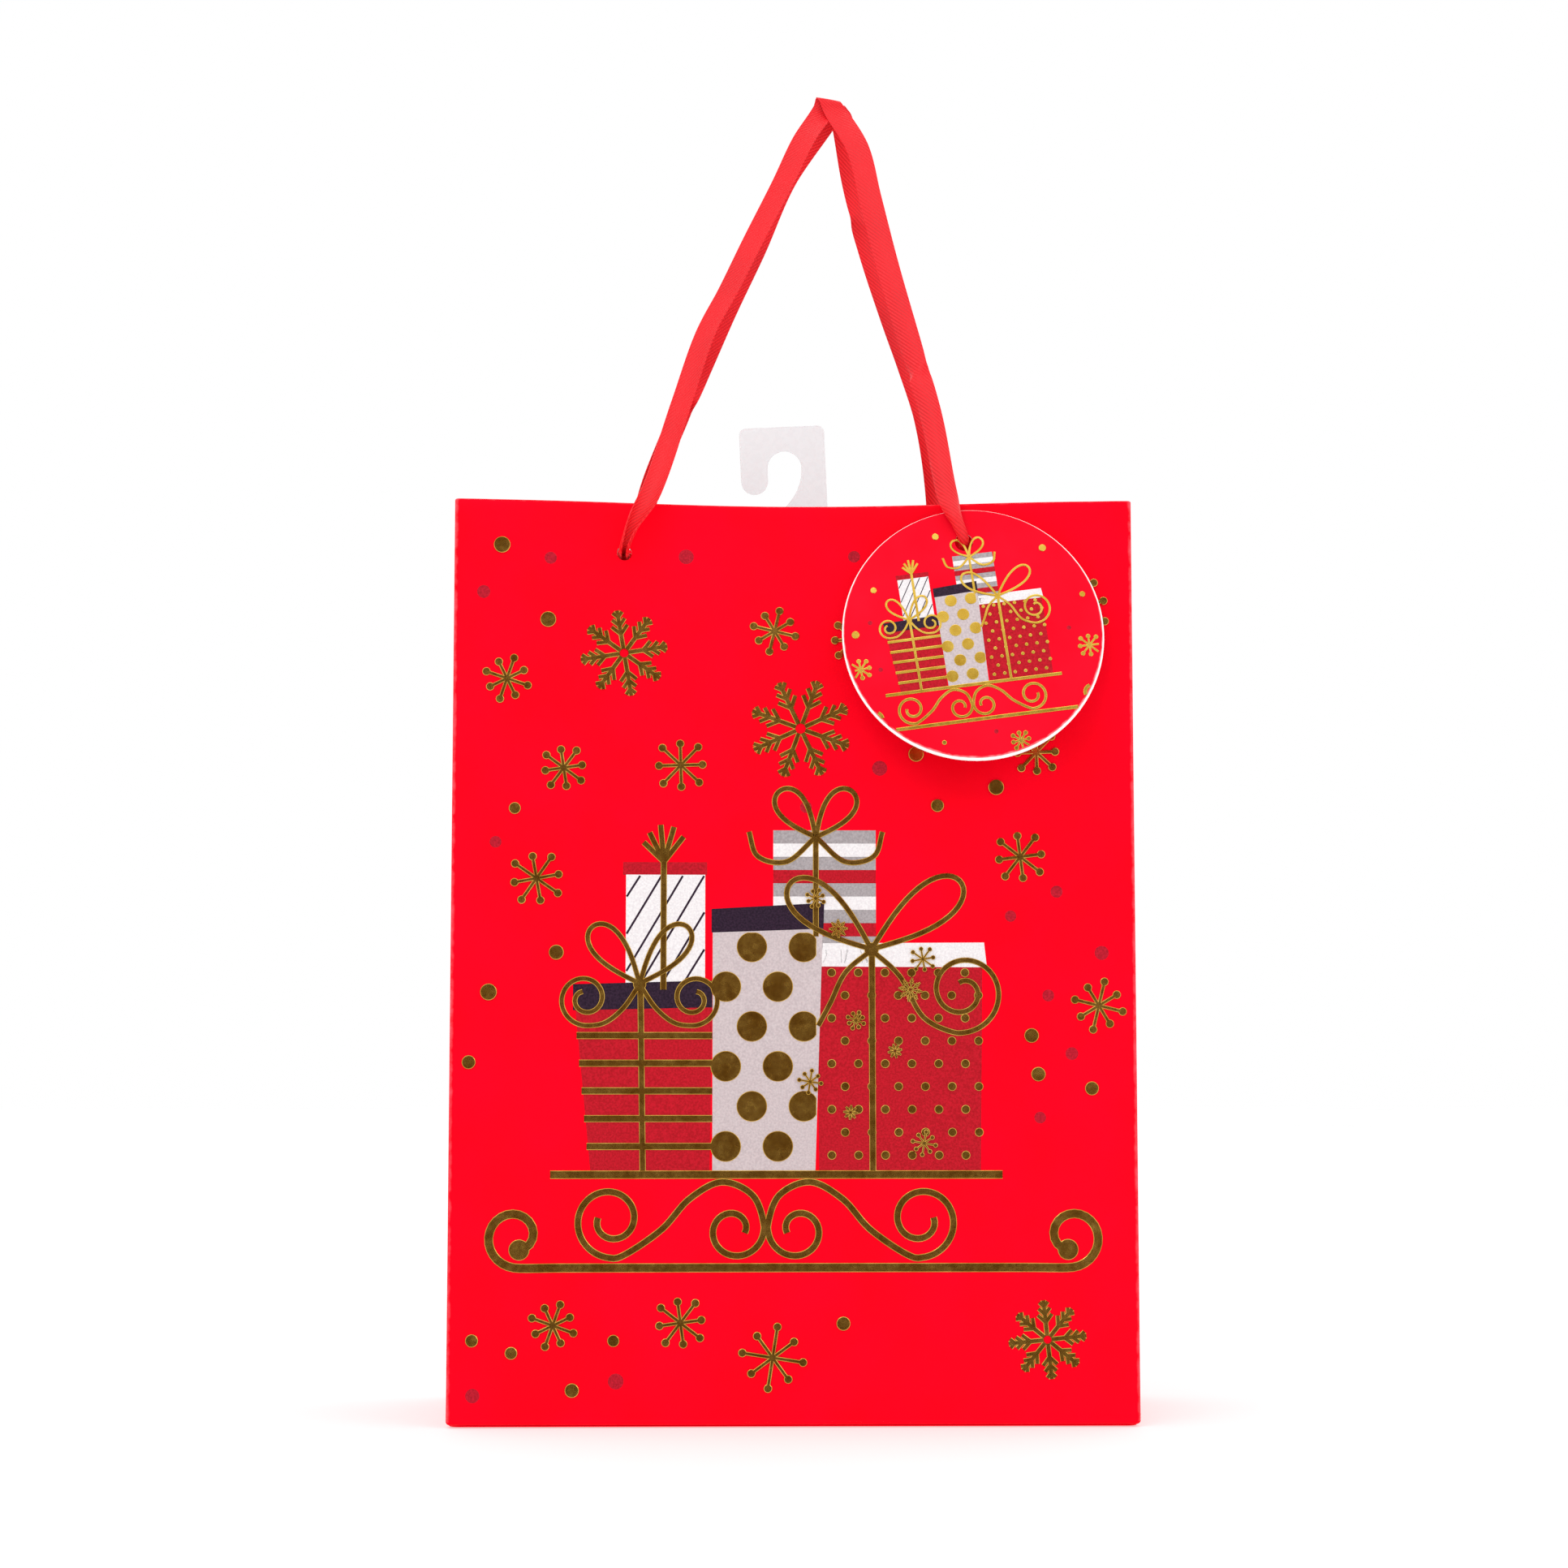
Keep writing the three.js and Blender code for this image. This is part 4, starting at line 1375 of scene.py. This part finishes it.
def add_gusset_artwork(side, half, surface):
    """A few stars and dots on the sides, where the sleigh doesn't reach."""
    foil = Ink(0.02, 0.1, 0.14)
    dull = Ink(0.01, 0.012, 0.01)
    stars = {
        "front": ((15, 196, 7), (22, 96, 6.4), (13, 28, 5)),
        "rear": ((20, 150, 8), (15, 62, 6), (24, 216, 5)),
    }
    dots = {
        "front": ((26, 226, 1.9), (9, 160, 1.5), (30, 132, 2.1), (10, 64, 1.8)),
        "rear": ((10, 190, 2.0), (27, 176, 1.4), (12, 112, 1.9), (28, 36, 1.7)),
    }
    for x, z, radius in stars[half]:
        star(foil, x, z, radius, 9 + z)
    for k, (x, z, radius) in enumerate(dots[half]):
        (dull if k % 2 else foil).disc(x, z, radius)
    body = f"{side}_gusset_{half}"

    def laid(x, z, lift):
        return surface(x, z, -lift)
    for name, drawn, paint, slot in (("foil", foil, FOIL, "gold_foil"), ("ink", dull, DULL, "print_ink")):
        piece = drawn.lay(f"{body}_{name}", laid, paint, body, slot)
        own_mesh(piece)


# ---------------------------------------------------------------- everything in order

add_camera()
add_studio()
walls = {"front": wall_surface(-1), "back": wall_surface(1, CREASE_RISE)}
add_ribbon(
    "front", -1, FRONT_WAYS, walls["front"], (43.1, TAG_HOLE_Z),
    turns=(
        (0, -0.1), (0.08, -0.2), (0.25, -0.4), (0.42, -0.2), (0.6, 0.25), (0.8, 0.45), (0.93, 0.15), (1, 0)
    ),
    curls=((0, 2.6), (0.12, 1.2), (0.3, 0.7), (0.45, 0.6), (0.62, 0.6), (0.8, 1.0), (0.92, 2.0), (1, 3.0)),
    kinks=((0.8, -0.35),),
)
add_ribbon(
    "back", 1, BACK_WAYS, walls["back"], (HALF_D, HOLE_Z),
    turns=((0, 0.1), (0.12, 0.2), (0.3, 0.3), (0.44, 0.2), (0.6, -0.4), (0.8, -0.7), (0.92, -0.3), (1, 0)),
    curls=((0, 2.6), (0.12, 1.0), (0.28, 0.6), (0.45, 0.6), (0.6, 0.8), (0.8, 1.3), (0.92, 2.0), (1, 3.0)),
    kinks=((0.215, -0.4), (0.62, 0.3)),
)
for wall_name, wall_side in (("front", -1), ("back", 1)):
    add_wall(wall_name, wall_side, walls[wall_name])
    add_artwork(wall_name, wall_side, walls[wall_name])
for gusset_side, gusset_x in (("left", -1), ("right", 1)):
    for gusset_half, gusset_y in (("front", -1), ("rear", 1)):
        made = add_gusset(gusset_side, gusset_x, gusset_half, gusset_y)
        add_gusset_artwork(gusset_side, gusset_half, made)
add_base()
add_tag()
add_tag_artwork()
add_hang_tab()
for plain_node in ("side_seam_flap", "base_left_flap", "base_right_flap"):
    repaint(plain_node, WHITE)
